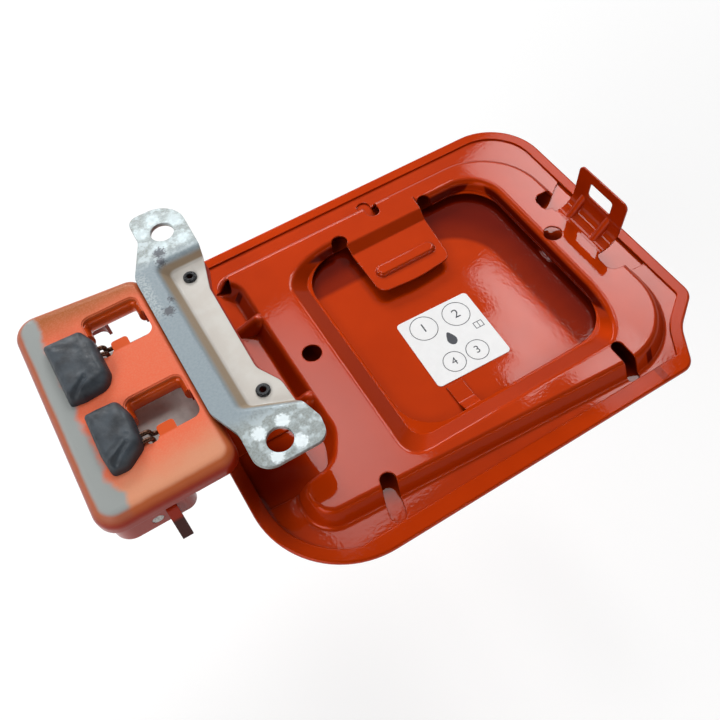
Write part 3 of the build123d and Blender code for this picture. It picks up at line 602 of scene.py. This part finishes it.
@dataclass(frozen=True)
class SleeveRubber:
    """Matt slate rubber whose crown is lighter: dust together with a painted sheen."""

    dark: Colour = (0.014, 0.018, 0.024)
    # Lighter colour of the crown: dust and a painted sheen.
    bloom: Colour = (0.046, 0.060, 0.075)
    bloom_z: Point = (37.0, 42.0)
    dust: Grain = Grain(6.0, 4.0, (0.25, 0.7))
    skin: Grain = Grain(0.9, 4.0)
    folds: Grain = Grain(3.5, 2.0, stretch=(1.0, 2.5, 1.0))
    fold_share: float = 2.0
    haze: Grain = Grain(2.5)
    roughness: Point = (0.42, 0.6)
    depth: float = 0.05

    def make(self) -> Material:
        """Build the material.

        Returns:
            The finished material.
        """
        s = Shade("slate_rubber")
        # The crown is lighter: dust and a painted sheen, by height.
        dust = s.times(s.smooth(s.z, *self.bloom_z), s.mottle(self.dust))
        skin = s.math("ADD", s.grain(self.skin), s.times(s.grain(self.folds), self.fold_share))
        rough = s.mottle(self.haze, self.roughness)
        return s.finish(s.mix(dust, self.dark, self.bloom), rough, s.relief(skin, self.depth))


@dataclass(frozen=True)
class LabelFinish:
    """White film or printed ink of the sticker."""

    name: str
    base: Colour
    shift: Colour
    cloud: Grain = Grain(4.0)
    skin: Grain = Grain(0.6, 2.0)
    roughness: float = 0.38
    depth: float = 0.006

    def make(self) -> Material:
        """Build the material.

        Returns:
            The finished material.
        """
        s = Shade(self.name)
        colour = s.mix(s.mottle(self.cloud), self.base, self.shift)
        return s.finish(colour, self.roughness, s.relief(s.grain(self.skin), self.depth))


class Tree(Nodes):
    """Grows one Geometry Nodes tree with named inputs."""

    def __init__(self, name: str) -> None:
        """Start a tree that takes and gives one geometry."""
        super().__init__(bpy.data.node_groups.new(name, "GeometryNodeTree"))
        self.ids: dict[str, str] = {}
        for way in ("INPUT", "OUTPUT"):
            self.tree.interface.new_socket("Geometry", in_out=way, socket_type="NodeSocketGeometry")
        self.inputs = self.add("NodeGroupInput")

    @property
    def seed(self) -> Socket:
        """Geometry that the tree starts from."""
        return self.inputs.outputs["Geometry"]

    def ask(self, name: str, kind: str) -> Socket:
        """Add a named input of a socket type and give its socket inside the tree."""
        self.ids[name] = self.tree.interface.new_socket(name, in_out="INPUT", socket_type=kind).identifier
        return self.inputs.outputs[name]

    def end(self, geometry: Socket) -> None:
        """Realise the result, give it its material and send it out.

        Args:
            geometry: The tree's result.
        """
        real = self.add("GeometryNodeRealizeInstances", {0: geometry})
        finish = self.ask("Finish", "NodeSocketMaterial")
        dressed = self.add("GeometryNodeSetMaterial", {0: real.outputs[0], "Material": finish})
        self.add("NodeGroupOutput", {0: dressed.outputs[0]})

    def grow(self, seed: Object, values: dict) -> None:
        """Turn a seed object into the tree's result, as a plain mesh.

        Args:
            seed: Object whose mesh the tree starts from.
            values: Value of each named input.
        """
        modifier = seed.modifiers.new(self.tree.name, "NODES")
        modifier.node_group = self.tree
        for name, value in values.items():
            modifier[self.ids[name]] = value
        made = plain_mesh(seed)
        seed.modifiers.remove(modifier)
        seed.data = made


def plain_mesh(piece: Object) -> Mesh:
    """Mesh of an object as its modifiers leave it."""
    graph = bpy.context.evaluated_depsgraph_get()
    return bpy.data.meshes.new_from_object(piece.evaluated_get(graph), depsgraph=graph)


def new_piece(name: str, data: bpy.types.ID) -> Object:
    """Put a mesh, or other object data, in the scene.

    Args:
        name: Name of the piece.
        data: What it shows, with its place in its vertices.

    Returns:
        The new object at the origin.
    """
    piece = bpy.data.objects.new(name, data)
    bpy.context.scene.collection.objects.link(piece)
    return piece


def mesh_of(name: str, points: Iterable[Sequence[float]], edges: list, faces: list) -> Mesh:
    """Make a mesh from millimetre points.

    Args:
        name: Name of the mesh.
        points: Points in millimetres.
        edges: Pairs of point numbers.
        faces: Rings of point numbers.

    Returns:
        The mesh in metres.
    """
    mesh = bpy.data.meshes.new(name)
    mesh.from_pydata([Vector(p) * MM for p in points], edges, faces)
    mesh.update()
    return mesh


def filled(shape: bmesh.types.BMesh, mesh: Mesh, material: Material) -> Mesh:
    """Write an edited shape into a mesh and free the shape.

    Args:
        shape: The shape.
        mesh: The mesh to fill.
        material: Its material.

    Returns:
        The filled mesh.
    """
    shape.to_mesh(mesh)
    shape.free()
    mesh.materials.append(material)
    return mesh


def dress(node: str, material: Material) -> None:
    """Give a node of the model its finish.

    Args:
        node: The node's name.
        material: Its material.
    """
    slots = frame["nodes"][node].data.materials
    slots.clear()
    slots.append(material)
    log.info("%s dressed in %s", node, material.name)


def rounded_corners(points: Sequence[Vector], radii: Sequence[float], steps: int) -> list[Vector]:
    """Broken line with its inner corners rounded.

    Args:
        points: Ends and corners of the line.
        radii: Radius at each inner corner.
        steps: Points along each arc.

    Returns:
        The points of the rounded line.
    """
    path = [points[0]]
    for before, at, after, radius in zip(points, points[1:], points[2:], radii):
        u = (before - at).normalized()
        v = (after - at).normalized()
        half = u.angle(v) / 2
        reach = radius / tan(half)
        centre = at + (u + v).normalized() * (radius / sin(half))
        start, end = at + u * reach, at + v * reach
        for i in range(steps + 1):
            path.append(centre + (start - centre).slerp(end - centre, i / steps) * radius)
    path.append(points[-1])
    return path


class SweepTree(Tree):
    """Sweeps an oval along a path."""

    def __init__(self, name: str, upright: bool) -> None:
        """Grow a tree of that name; an upright oval keeps its second axis upright."""
        super().__init__(name)
        oval = self.ask("Oval", "NodeSocketVector")
        sides = self.ask("Sides", "NodeSocketInt")
        line = self.add("GeometryNodeMeshToCurve", {0: self.seed})
        if upright:
            line = self.add("GeometryNodeSetCurveNormal", {"Curve": line.outputs[0]}, mode="Z_UP")
        ring = self.add("GeometryNodeCurvePrimitiveCircle", {"Resolution": sides, "Radius": 1.0})
        profile = self.add("GeometryNodeTransform", {"Geometry": ring.outputs[0], "Scale": oval})
        links = {"Curve": line.outputs[0], "Profile Curve": profile.outputs[0], "Fill Caps": True}
        tube = self.add("GeometryNodeCurveToMesh", links)
        self.end(self.add("GeometryNodeSetShadeSmooth", {0: tube.outputs[0]}).outputs[0])

    def sweep(self, name: str, path: list[Vector], oval: Point, sides: int, finish: Material) -> Object:
        """Make a piece that follows a path.

        Args:
            name: Name of the piece.
            path: Points in millimetres.
            oval: The oval's two radii in millimetres.
            sides: Points round the oval.
            finish: The piece's material.

        Returns:
            The new piece.
        """
        edges = [(i, i + 1) for i in range(len(path) - 1)]
        piece = new_piece(name, mesh_of(name, path, edges, []))
        scale = (oval[0] * MM, oval[1] * MM, 1.0)
        self.grow(piece, {"Oval": scale, "Sides": sides, "Finish": finish})
        log.info("%s swept from %d points", name, len(path))
        return piece


@dataclass
class DoorPanels:
    """Outer skin, stamped inner panel and hinge arm."""

    paint: BodyPaint = BodyPaint()
    arm_paint: ArmPaint = ArmPaint()

    def build(self) -> None:
        """Dress the panels and the arm."""
        paint = self.paint.make()
        for node in ("outer_panel", "inner_panel"):
            dress(node, paint)
        dress("hinge_arm", self.arm_paint.make())


@dataclass
class HingeHousing:
    """Hinge box, pin, bracket and rivets."""

    paint: BoxPaint = BoxPaint()
    zinc: GalvanisedSteel = GalvanisedSteel()

    def build(self) -> None:
        """Dress the fixed half of the hinge."""
        dress("hinge_box", self.paint.make())
        dress("mounting_bracket", self.zinc.make())
        dress("hinge_pin", SmallSteel(SteelKind.DRAWN).make())
        black = SmallSteel(SteelKind.BLACKENED).make()
        for node in ("rivet_upper", "rivet_lower"):
            dress(node, black)


@dataclass
class ReturnSpring:
    """Torsion spring: a leg under the arm, a coil on the pin and a hairpin hooked on the box."""

    node: str
    hook_x: float
    hook_y: float
    wire: float = 2.0
    coil_radius: float = 4.6
    pitch: float = 2.5
    turns: float = 3.5
    leg_angle: float = 14.0
    leg: float = 24.0
    hairpin: float = 3.4
    hairpin_length: float = 18.0
    coil_bend: float = 3.0
    rise_bend: float = 2.0
    tip_bend: float = 1.6
    tip: float = 4.4
    sheet: float = 1.5
    tab_gap: float = 0.2
    turn_points: int = 40
    arc_points: int = 8
    sides: int = 20

    def coil_point(self, turn: float, y: float) -> Vector:
        """Point of a coil that starts at y, some turns from the leg, in millimetres."""
        angle, r = radians(180 - self.leg_angle) + 2 * pi * turn, self.coil_radius
        return Vector((PIN[0] / MM + r * sin(angle), y + self.pitch * turn, PIN[2] / MM + r * cos(angle)))

    def path(self) -> tuple[list[Vector], float, float]:
        """Centre line of the wire.

        Returns:
            Its points, and where the coil starts and ends along the pin.
        """
        step = 1e-4
        last = self.coil_point(self.turns, 0.0)
        out = (self.coil_point(self.turns + step, 0.0) - last).normalized()
        reach = (self.hook_x - last.x) / out.x
        start = self.hook_y - last.y - out.y * reach
        count = round(self.turns * self.turn_points)
        coil = [self.coil_point(self.turns * i / count, start) for i in range(count + 1)]
        slope = (self.coil_point(step, start) - coil[0]).normalized()
        box_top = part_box("hinge_box")[1].z / MM
        top = box_top + self.wire / 2
        under = box_top - self.sheet - self.wire / 2 - self.tab_gap
        x, back = self.hook_x, self.hook_x - self.hairpin_length
        near, far = self.hook_y, self.hook_y + self.hairpin
        over = ((x, near, top), (back, near, top), (back, far, top), (x, far, top))
        below = ((x, far, under), (x + self.tip, far, under))
        corners = [coil[-1], coil[-1] + out * reach, *(Vector(place) for place in over + below)]
        turn = self.hairpin / 2
        radii = (self.coil_bend, self.rise_bend, turn, turn, self.tip_bend, self.tip_bend)
        hook = rounded_corners(corners, radii, self.arc_points)
        return [coil[0] - slope * self.leg, *coil, *hook[1:]], start, coil[-1].y

    def build(self, tree: SweepTree, steel: Material) -> None:
        """Sweep the wire and hide the spring's plain solid.

        Args:
            tree: Sweep along a path.
            steel: The wire's material.
        """
        points, coil_start, coil_end = self.path()
        radius = self.wire / 2
        piece = tree.sweep(self.node + "_wire", points, (radius, radius), self.sides, steel)
        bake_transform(piece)
        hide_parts(self.node)


@dataclass
class WindowLip:
    """Rolled lip that stands in the far half of a window of the hinge box."""

    name: str
    centre: Point
    half: Point = (13.0, 11.5)
    corner: float = 4.0
    foot: float = 3.0
    depth: float = 2.6
    height: float = 3.9
    drop: float = 5.6
    arc_points: int = 8
    sides: int = 28

    def build(self, tree: SweepTree, paint: Material) -> None:
        """Sweep the lip.

        Args:
            tree: Sweep of an upright oval along a path.
            paint: The lip's material.
        """
        x, y = self.centre
        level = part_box("hinge_box")[1].z / MM - self.drop
        near, far = y + self.foot, y + self.half[1]
        left, right = x - self.half[0], x + self.half[0]
        turns = ((left, near), (left, far), (right, far), (right, near))
        corners = [Vector((*turn, level)) for turn in turns]
        path = rounded_corners(corners, (self.corner, self.corner), self.arc_points)
        piece = tree.sweep(self.name, path, (self.depth, self.height), self.sides, paint)
        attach(piece, Body.HINGE.value)


@dataclass(frozen=True)
class Crease:
    """Fold line pressed into rubber: where it runs, how wide it is and how deep; below 0 it stands up."""

    start: Point
    end: Point
    width: float
    depth: float

    def at(self, x: float, y: float) -> float:
        """Depth of the fold at a place.

        Args:
            x: Place in millimetres.
            y: Place in millimetres.

        Returns:
            The depth in millimetres.
        """
        dx, dy = self.end[0] - self.start[0], self.end[1] - self.start[1]
        along = ((x - self.start[0]) * dx + (y - self.start[1]) * dy) / (dx * dx + dy * dy)
        along = min(max(along, 0.0), 1.0)
        off = hypot(x - self.start[0] - along * dx, y - self.start[1] - along * dy)
        fall = max(0.0, 1 - (off / self.width) ** 2)
        return self.depth * fall * fall


@dataclass
class SpringSleeve:
    """Rubber sleeve pressed flat over a hairpin, crowned and folded over at its lower end."""

    node: str
    corners: tuple[Spot, ...]
    creases: tuple[Crease, ...]
    seed: float
    rings: int = 30
    arc_points: int = 9
    side_step: float = 0.4488
    rim_power: float = 7.0
    sway: float = 0.06
    lump: float = 0.064
    lump_size: float = 7.0
    lump_finer: float = 3.1
    foot: float = 0.12

    def outline(self) -> list[Vector]:
        """Rounded outline of the sleeve with points along its sides.

        Returns:
            Its points in millimetres.
        """
        spots = [Vector((x, y, 0)) for x, y, _ in self.corners]
        radii = [r for _, _, r in self.corners]
        closed = [spots[-1], *spots, spots[0]]
        bends = rounded_corners(closed, radii, self.arc_points)[1:-1]
        path = []
        for a, b in zip(bends, bends[1:] + bends[:1]):
            parts = max(1, round((b - a).length / self.side_step))
            path.extend(a.lerp(b, i / parts) for i in range(parts))
        return path

    def crown(self, x: float, y: float, inward: float, low: float, high: float) -> Vector:
        """Point on top of the rubber.

        Args:
            x: Place in millimetres.
            y: Place in millimetres.
            inward: 0 at the rim, 1 at the middle.
            low: Height of the box top.
            high: Highest point allowed.

        Returns:
            The point in millimetres.
        """
        spot = Vector((x / self.lump_size, y / self.lump_size, self.seed))
        swell = (1 - (1 - inward) ** self.rim_power) ** 0.5
        swell *= 1 - self.sway + self.sway * noise.noise(spot)
        fold = sum(c.at(x, y) for c in self.creases)
        fine = self.lump * noise.noise(spot * self.lump_finer)
        height = low + (high - low - fold + fine) * swell
        return Vector((x, y, min(high, max(low + self.foot, height))))

    def skin(self, count: int) -> list[tuple[int, ...]]:
        """Faces between the foot, the rings and the two middles.

        Args:
            count: Points in each ring.

        Returns:
            Rings of point numbers.
        """
        last = self.rings * count
        top, base = last + count, last + count + 1
        faces: list[tuple[int, ...]] = []
        for i in range(count):
            j = (i + 1) % count
            faces.append((base, j, i))
            for a in range(0, last, count):
                b = a + count
                faces.append((a + i, a + j, b + j, b + i))
            faces.append((last + i, last + j, top))
        return faces

    def build(self, rubber: Material) -> None:
        """Build the sleeve in place of its plain solid.

        Args:
            rubber: The sleeve's material.
        """
        low, high = (corner.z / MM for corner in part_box(self.node))
        rim = self.outline()
        centre = sum(rim, Vector()) / len(rim)
        points = [Vector((spot.x, spot.y, low)) for spot in rim]
        for ring in range(self.rings):
            inward = 1 - cos(ring / self.rings * pi / 2)
            for spot in rim:
                x, y, _ = spot.lerp(centre, inward)
                points.append(self.crown(x, y, inward, low, high))
        points.append(self.crown(centre.x, centre.y, 1.0, low, high))
        points.append(Vector((centre.x, centre.y, low)))
        mesh = mesh_of(self.node, points, [], self.skin(len(rim)))
        shape = bmesh.new()
        shape.from_mesh(mesh)
        bmesh.ops.recalc_face_normals(shape, faces=shape.faces)
        for face in shape.faces:
            face.smooth = True
        piece = new_piece(self.node + "_rubber", filled(shape, mesh, rubber))
        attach(piece, Body.HINGE.value)
        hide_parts(self.node)
        log.info("%s built with %d points", piece.name, len(points))


@dataclass
class FuelLabel:
    """White sticker with printed rings, a plain number in each, a drop and a small frame."""

    turn: float = -2.0
    rings: tuple[Spot, ...] = ((-8.6, 11.4, 6.6), (8.7, 10.7, 6.6), (6.3, -11.1, 5.3), (-6.1, -11.2, 5.3))
    ring_points: int = 96
    line: float = 0.34
    ink_height: float = 0.05
    digit_share: float = 1.05
    drop: Spot = (-0.6, -0.4, 3.0)
    drop_points: int = 40
    drop_width: float = 0.78
    drop_taper: float = 0.42
    drop_lift: float = 1.45
    square: tuple[float, float, float, float] = (14.6, 0.4, 4.6, 3.6)
    film: LabelFinish = LabelFinish("label_film", (0.93, 0.93, 0.93), (0.90, 0.90, 0.90))
    ink: LabelFinish = LabelFinish("label_ink", (0.016, 0.020, 0.032), (0.026, 0.03, 0.045))

    def place(self) -> Matrix:
        """Way from the sticker's own plane, in millimetres, to the model in metres.

        Returns:
            The matrix.
        """
        low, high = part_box("fuel_label")
        spot = ((low.x + high.x) / 2, (low.y + high.y) / 2, high.z)
        return Matrix.Translation(spot) @ Matrix.Rotation(radians(self.turn), 4, "Z") @ Matrix.Scale(MM, 4)

    def printed(self, name: str, mesh: Mesh) -> None:
        """Lay a printed mesh on the sticker.

        Args:
            name: Name of the piece.
            mesh: Mesh in the sticker's own plane, in millimetres.
        """
        mesh.transform(self.place())
        piece = new_piece(name, mesh)
        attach(piece, Body.DOOR.value)
        log.info("%s printed", name)

    def ring_tree(self) -> Tree:
        """Grow the tree that prints a ring of each point's size.

        Returns:
            The tree, with the inputs Line, Height and Finish.
        """
        tree = Tree("printed_rings")
        width = tree.ask("Line", "NodeSocketFloat")
        height = tree.ask("Height", "NodeSocketFloat")
        unit = {"Resolution": self.ring_points, "Radius": 1.0}
        circle = tree.add("GeometryNodeCurvePrimitiveCircle", unit)
        size = tree.add("GeometryNodeInputNamedAttribute", {"Name": "size"}, data_type="FLOAT").outputs[0]
        grown = tree.add("ShaderNodeCombineXYZ", {0: size, 1: size, 2: 1.0})
        links = {"Points": tree.seed, "Instance": circle.outputs[0], "Scale": grown.outputs[0]}
        rings = tree.add("GeometryNodeInstanceOnPoints", links)
        lines = tree.add("GeometryNodeRealizeInstances", {0: rings.outputs[0]})
        profile = tree.add("GeometryNodeCurvePrimitiveQuadrilateral", {0: width, 1: height})
        links = {"Curve": lines.outputs[0], "Profile Curve": profile.outputs[0]}
        tree.end(tree.add("GeometryNodeCurveToMesh", links).outputs[0])
        return tree

    def print_rings(self, ink: Material) -> None:
        """Print the rings.

        Args:
            ink: The print's material.
        """
        mesh = bpy.data.meshes.new("rings")
        mesh.from_pydata([(x, y, 0.0) for x, y, _ in self.rings], [], [])
        size = mesh.attributes.new("size", "FLOAT", "POINT")
        for item, (_, _, radius) in zip(size.data, self.rings):
            item.value = radius
        seed = new_piece("ring_seed", mesh)
        self.ring_tree().grow(seed, {"Line": self.line, "Height": self.ink_height, "Finish": ink})
        made = seed.data
        bpy.data.objects.remove(seed)
        self.printed("label_rings", made)

    def print_digits(self, ink: Material) -> None:
        """Print a plain number in each ring.

        Args:
            ink: The print's material.
        """
        shape = bmesh.new()
        for number, (x, y, radius) in enumerate(self.rings, start=1):
            words = bpy.data.curves.new("digit", "FONT")
            words.body = str(number)
            words.size = radius * self.digit_share
            words.align_x = "CENTER"
            words.align_y = "CENTER"
            words.extrude = self.ink_height / 2
            holder = new_piece("digit", words)
            mesh = plain_mesh(holder)
            mesh.transform(Matrix.Translation((x, y, 0)))
            shape.from_mesh(mesh)
            bpy.data.objects.remove(holder)
        self.printed("label_digits", filled(shape, bpy.data.meshes.new("digits"), ink))

    def signs(self) -> list[list[Point]]:
        """Outlines of a plain drop and of the bars of a small frame.

        Returns:
            The corners of each outline in millimetres.
        """
        x, y, r = self.drop
        drop = []
        for i in range(self.drop_points):
            a = 2 * pi * i / self.drop_points
            lift = self.drop_lift if sin(a) > 0 else 1.0
            width = self.drop_width * (1 - self.drop_taper * max(0.0, sin(a)))
            drop.append((x + r * width * cos(a), y + r * lift * sin(a)))
        x, y, width, height = self.square
        t = self.line
        left, right = x - width / 2, x + width / 2
        low, high = y - height / 2, y + height / 2
        bars = [(left, right, high - t, high), (left, right, low, low + t)]
        bars += [(start, start + t, low + t, high - t) for start in (left, right - t, x - t / 2)]
        return [drop, *([(a, c), (b, c), (b, d), (a, d)] for a, b, c, d in bars)]

    def print_signs(self, ink: Material) -> None:
        """Print a plain drop and a small open frame.

        Args:
            ink: The print's material.
        """
        shape = bmesh.new()
        for ring in self.signs():
            corners = [shape.verts.new((x, y, -self.ink_height / 2)) for x, y in ring]
            face = shape.faces.new(corners)
            made = bmesh.ops.extrude_face_region(shape, geom=[face])["geom"]
            lifted = [g for g in made if isinstance(g, bmesh.types.BMVert)]
            bmesh.ops.translate(shape, verts=lifted, vec=(0, 0, self.ink_height))
        bmesh.ops.recalc_face_normals(shape, faces=shape.faces)
        self.printed("label_signs", filled(shape, bpy.data.meshes.new("signs"), ink))

    def build(self) -> None:
        """Dress the film and print on it."""
        dress("fuel_label", self.film.make())
        ink = self.ink.make()
        self.print_rings(ink)
        self.print_digits(ink)
        self.print_signs(ink)


PANE_SIDE = (0.972, 0.234, 0.0)
PANE_DISTANCE = 20.0
ALONG_X = (1.0, 0.0, 0.0)
ALONG_Y = (0.0, 1.0, 0.0)
NEAR = 1.4
MEAN_SQUARE = 1 / 3
WHITE = (1.0, 1.0, 1.0)
SEEN_RAYS = ("Is Camera Ray", "Is Glossy Ray", "Is Transmission Ray")


@dataclass
class Softbox:
    """Rectangular lamp that faces the part and fades from its middle to its rim."""

    name: str
    toward: Spot
    size: Point
    radiance: float
    side: Spot = PANE_SIDE
    distance: float = PANE_DISTANCE
    rim: Point = (0.35, 0.5)

    def fade(self, nodes: Nodes) -> None:
        """Let the light fall off from the lamp's middle to its rim, at the same mean level.

        Args:
            nodes: The lamp's nodes.
        """
        place = nodes.add("ShaderNodeNewGeometry").outputs["Parametric"]
        level: Value = 1.0 + sum(self.rim) * MEAN_SQUARE
        for axis, loss in zip(nodes.add("ShaderNodeSeparateXYZ", {0: place}).outputs, self.rim):
            off = nodes.times(nodes.math("SUBTRACT", axis, 0.5), 2.0)
            level = nodes.math("SUBTRACT", level, nodes.times(off, off, loss))
        nodes.feed(nodes.tree.nodes["Emission"], {"Strength": level})

    def build(self) -> None:
        """Hang the lamp."""
        lamp = bpy.data.lights.new(self.name, "AREA")
        lamp.shape = "RECTANGLE"
        lamp.size, lamp.size_y = self.size
        lamp.energy = self.radiance * pi * self.size[0] * self.size[1]
        lamp.use_nodes = True
        self.fade(Nodes(lamp.node_tree))
        back = Vector(self.toward).normalized()
        across = Vector(self.side)
        across = (across - back * across.dot(back)).normalized()
        turn = Matrix((across, back.cross(across), back)).transposed().to_4x4()
        new_piece(self.name, lamp).matrix_world = Matrix.Translation(back * self.distance) @ turn


@dataclass
class Studio:
    """Camera, floor and soft light."""

    eye: Spot = (-119.37, -171.95, 301.26)
    right: Spot = (0.85534, -0.51523, -0.05317)
    up: Spot = (0.46280, 0.71405, 0.52522)
    back: Spot = (-0.23264, -0.47390, 0.84930)
    lens: float = 38.48
    sensor: float = 36.0
    floor_half: float = 3000.0
    floor_gap: float = 3.0
    floor_fade: Point = (500.0, 2000.0)
    floor_colour: Colour = (0.50, 0.50, 0.50)
    floor_lift: Point = (0.56, 0.95)
    sky_axis: Spot = (0.35, 0.50, 0.79)
    sky_spread: Point = (0.55, 0.95)
    sky_level: Point = (0.06, 0.32)
    horizon: Point = (0.26, 0.16)
    lamps: tuple[Softbox, ...] = (
        Softbox("far_pane", (0.5526, 0.4107, 0.7252), (2.93, 7.14), 9.0),
        Softbox("mid_pane", (0.433, 0.4001, 0.808), (0.73, 3.24), 9.0),
        Softbox("inner_pane", (0.4118, 0.3717, 0.832), (0.58, 2.28), 9.0),
        Softbox("low_pane", (0.3941, 0.3391, 0.854), (0.57, 1.14), 8.0),
        Softbox("foot_pane", (0.4877, 0.2742, 0.8288), (1.83, 2.13), 8.0),
        Softbox("near_pane", (0.142, 0.4353, 0.889), (3.31, 6.14), 5.5),
        Softbox("back", (0.05, 0.86, 0.51), (0.9, 0.35), 8.5, ALONG_X, NEAR),
        Softbox("fill", (-0.75, -0.35, 0.56), (0.9, 0.7), 4.0, ALONG_Y, NEAR),
        Softbox("left_strip", (-0.62, 0.47, 0.63), (0.12, 0.7), 8.0, ALONG_X, NEAR),
        Softbox("front", (0.2, -0.84, 0.5), (1.0, 0.16), 5.0, ALONG_X, NEAR),
    )

    def camera(self) -> None:
        """Set the camera at the picture's angle."""
        lens = bpy.data.cameras.new("camera")
        lens.lens = self.lens
        lens.sensor_width = self.sensor
        holder = new_piece("camera", lens)
        turn = Matrix((self.right, self.up, self.back)).transposed().to_4x4()
        holder.matrix_world = Matrix.Translation(Vector(self.eye) * MM) @ turn
        bpy.context.scene.camera = holder

    def floor(self) -> None:
        """Lay a plain pale floor below the place that the door swings to."""
        reach = hypot(CAD_BOX[1].x - PIN[0], PIN[2])
        half, z = self.floor_half, (PIN[2] - reach) / MM - self.floor_gap
        corners = [(-half, -half, z), (half, -half, z), (half, half, z), (-half, half, z)]
        mesh = mesh_of("floor", corners, [], [(0, 1, 2, 3)])
        s = Shade("pale_floor")
        path = s.add("ShaderNodeLightPath").outputs
        seen = s.largest(path[kind] for kind in SEEN_RAYS)
        far = s.smooth(s.length(s.x, s.y), *self.floor_fade, self.floor_lift)
        s.feed(s.shader, {"Base Color": self.floor_colour, "Roughness": 1.0, "Specular IOR Level": 0.0})
        s.feed(s.shader, {"Emission Color": WHITE, "Emission Strength": s.times(seen, far)})
        mesh.materials.append(s.material)
        new_piece("floor", mesh)

    def sky(self, nodes: Nodes) -> None:
        """Soft bright patch of ceiling over a dim room, with a horizon that is seen as white.

        Args:
            nodes: The world's nodes.
        """
        look = nodes.add("ShaderNodeTexCoord").outputs["Generated"]
        axis = Vector(self.sky_axis).normalized()
        dot = nodes.add("ShaderNodeVectorMath", {0: look, 1: axis}, operation="DOT_PRODUCT")
        ceiling = nodes.smooth(dot.outputs["Value"], *self.sky_spread, self.sky_level)
        height = nodes.add("ShaderNodeSeparateXYZ", {0: look}).outputs["Z"]
        band = nodes.smooth(height, *self.horizon)
        rays = nodes.add("ShaderNodeLightPath").outputs
        level = nodes.largest([ceiling, *(nodes.times(rays[kind], band) for kind in SEEN_RAYS)])
        nodes.feed(nodes.tree.nodes["Background"], {"Color": WHITE, "Strength": level})

    def build(self) -> None:
        """Set up the whole studio."""
        self.camera()
        self.floor()
        for lamp in self.lamps:
            lamp.build()
        world = bpy.data.worlds.new("studio")
        world.use_nodes = True
        self.sky(Nodes(world.node_tree))
        bpy.context.scene.world = world
        bpy.context.scene.view_settings.view_transform = "Standard"


SPRINGS = (
    ReturnSpring("spring_upper", hook_x=-133.6, hook_y=36.2),
    ReturnSpring("spring_lower", hook_x=-132.8, hook_y=-10.8),
)

LIPS = (
    WindowLip("window_lip_upper", (-125.2, 47.4)),
    WindowLip("window_lip_lower", (-124.4, 0.4)),
)
LIP_PAINT = BodyPaint(name="lip_orange", deep=(0.52, 0.055, 0.004), bright=(0.60, 0.075, 0.008))

SLEEVES = (
    SpringSleeve(
        "sleeve_upper",
        corners=(
            (-155.2, 19.6, 1.6), (-149.0, 18.6, 4.0), (-139.0, 19.4, 6.0), (-135.6, 25.0, 6.0),
            (-135.8, 43.0, 9.0), (-139.2, 51.2, 2.5), (-155.8, 51.6, 1.2),
        ),
        creases=(
            Crease((-152.0, 21.0), (-145.5, 26.0), 1.6, 1.1),
            Crease((-146.0, 20.5), (-138.0, 23.5), 2.2, 0.5),
            Crease((-139.8, 26.0), (-139.8, 46.0), 1.3, 0.15),
            Crease((-152.5, 47.0), (-144.0, 41.0), 2.4, 0.2),
            Crease((-147.0, 27.0), (-141.0, 29.0), 1.8, -0.25),
        ),
        seed=1.7,
    ),
    SpringSleeve(
        "sleeve_lower",
        corners=(
            (-151.8, -18.2, 2.5), (-145.0, -18.5, 5.0), (-136.2, -12.5, 6.0), (-135.8, 3.0, 9.0),
            (-138.4, 11.3, 3.0), (-152.4, 11.6, 1.4), (-152.8, -8.0, 12.0),
        ),
        creases=(
            Crease((-151.0, -12.5), (-140.5, -7.5), 1.7, 0.35),
            Crease((-149.0, -16.0), (-142.0, -10.5), 1.5, 0.9),
            Crease((-141.5, -6.0), (-138.0, 4.0), 1.6, 0.2),
            Crease((-151.0, -14.8), (-143.0, -9.6), 1.2, -0.3),
        ),
        seed=5.2,
    ),
)


def main() -> None:
    """Build every sub-assembly and the studio."""
    logging.basicConfig(level=logging.INFO, format="%(name)s: %(message)s")
    DoorPanels().build()
    FuelLabel().build()
    HingeHousing().build()
    wire = SweepTree("wire_sweep", upright=False)
    steel = SmallSteel(SteelKind.OILED).make()
    for spring in SPRINGS:
        spring.build(wire, steel)
    rolled = SweepTree("lip_sweep", upright=True)
    lip_paint = LIP_PAINT.make()
    for lip in LIPS:
        lip.build(rolled, lip_paint)
    rubber = SleeveRubber().make()
    for sleeve in SLEEVES:
        sleeve.build(rubber)
    Studio().build()


if __name__ == "__main__":
    main()
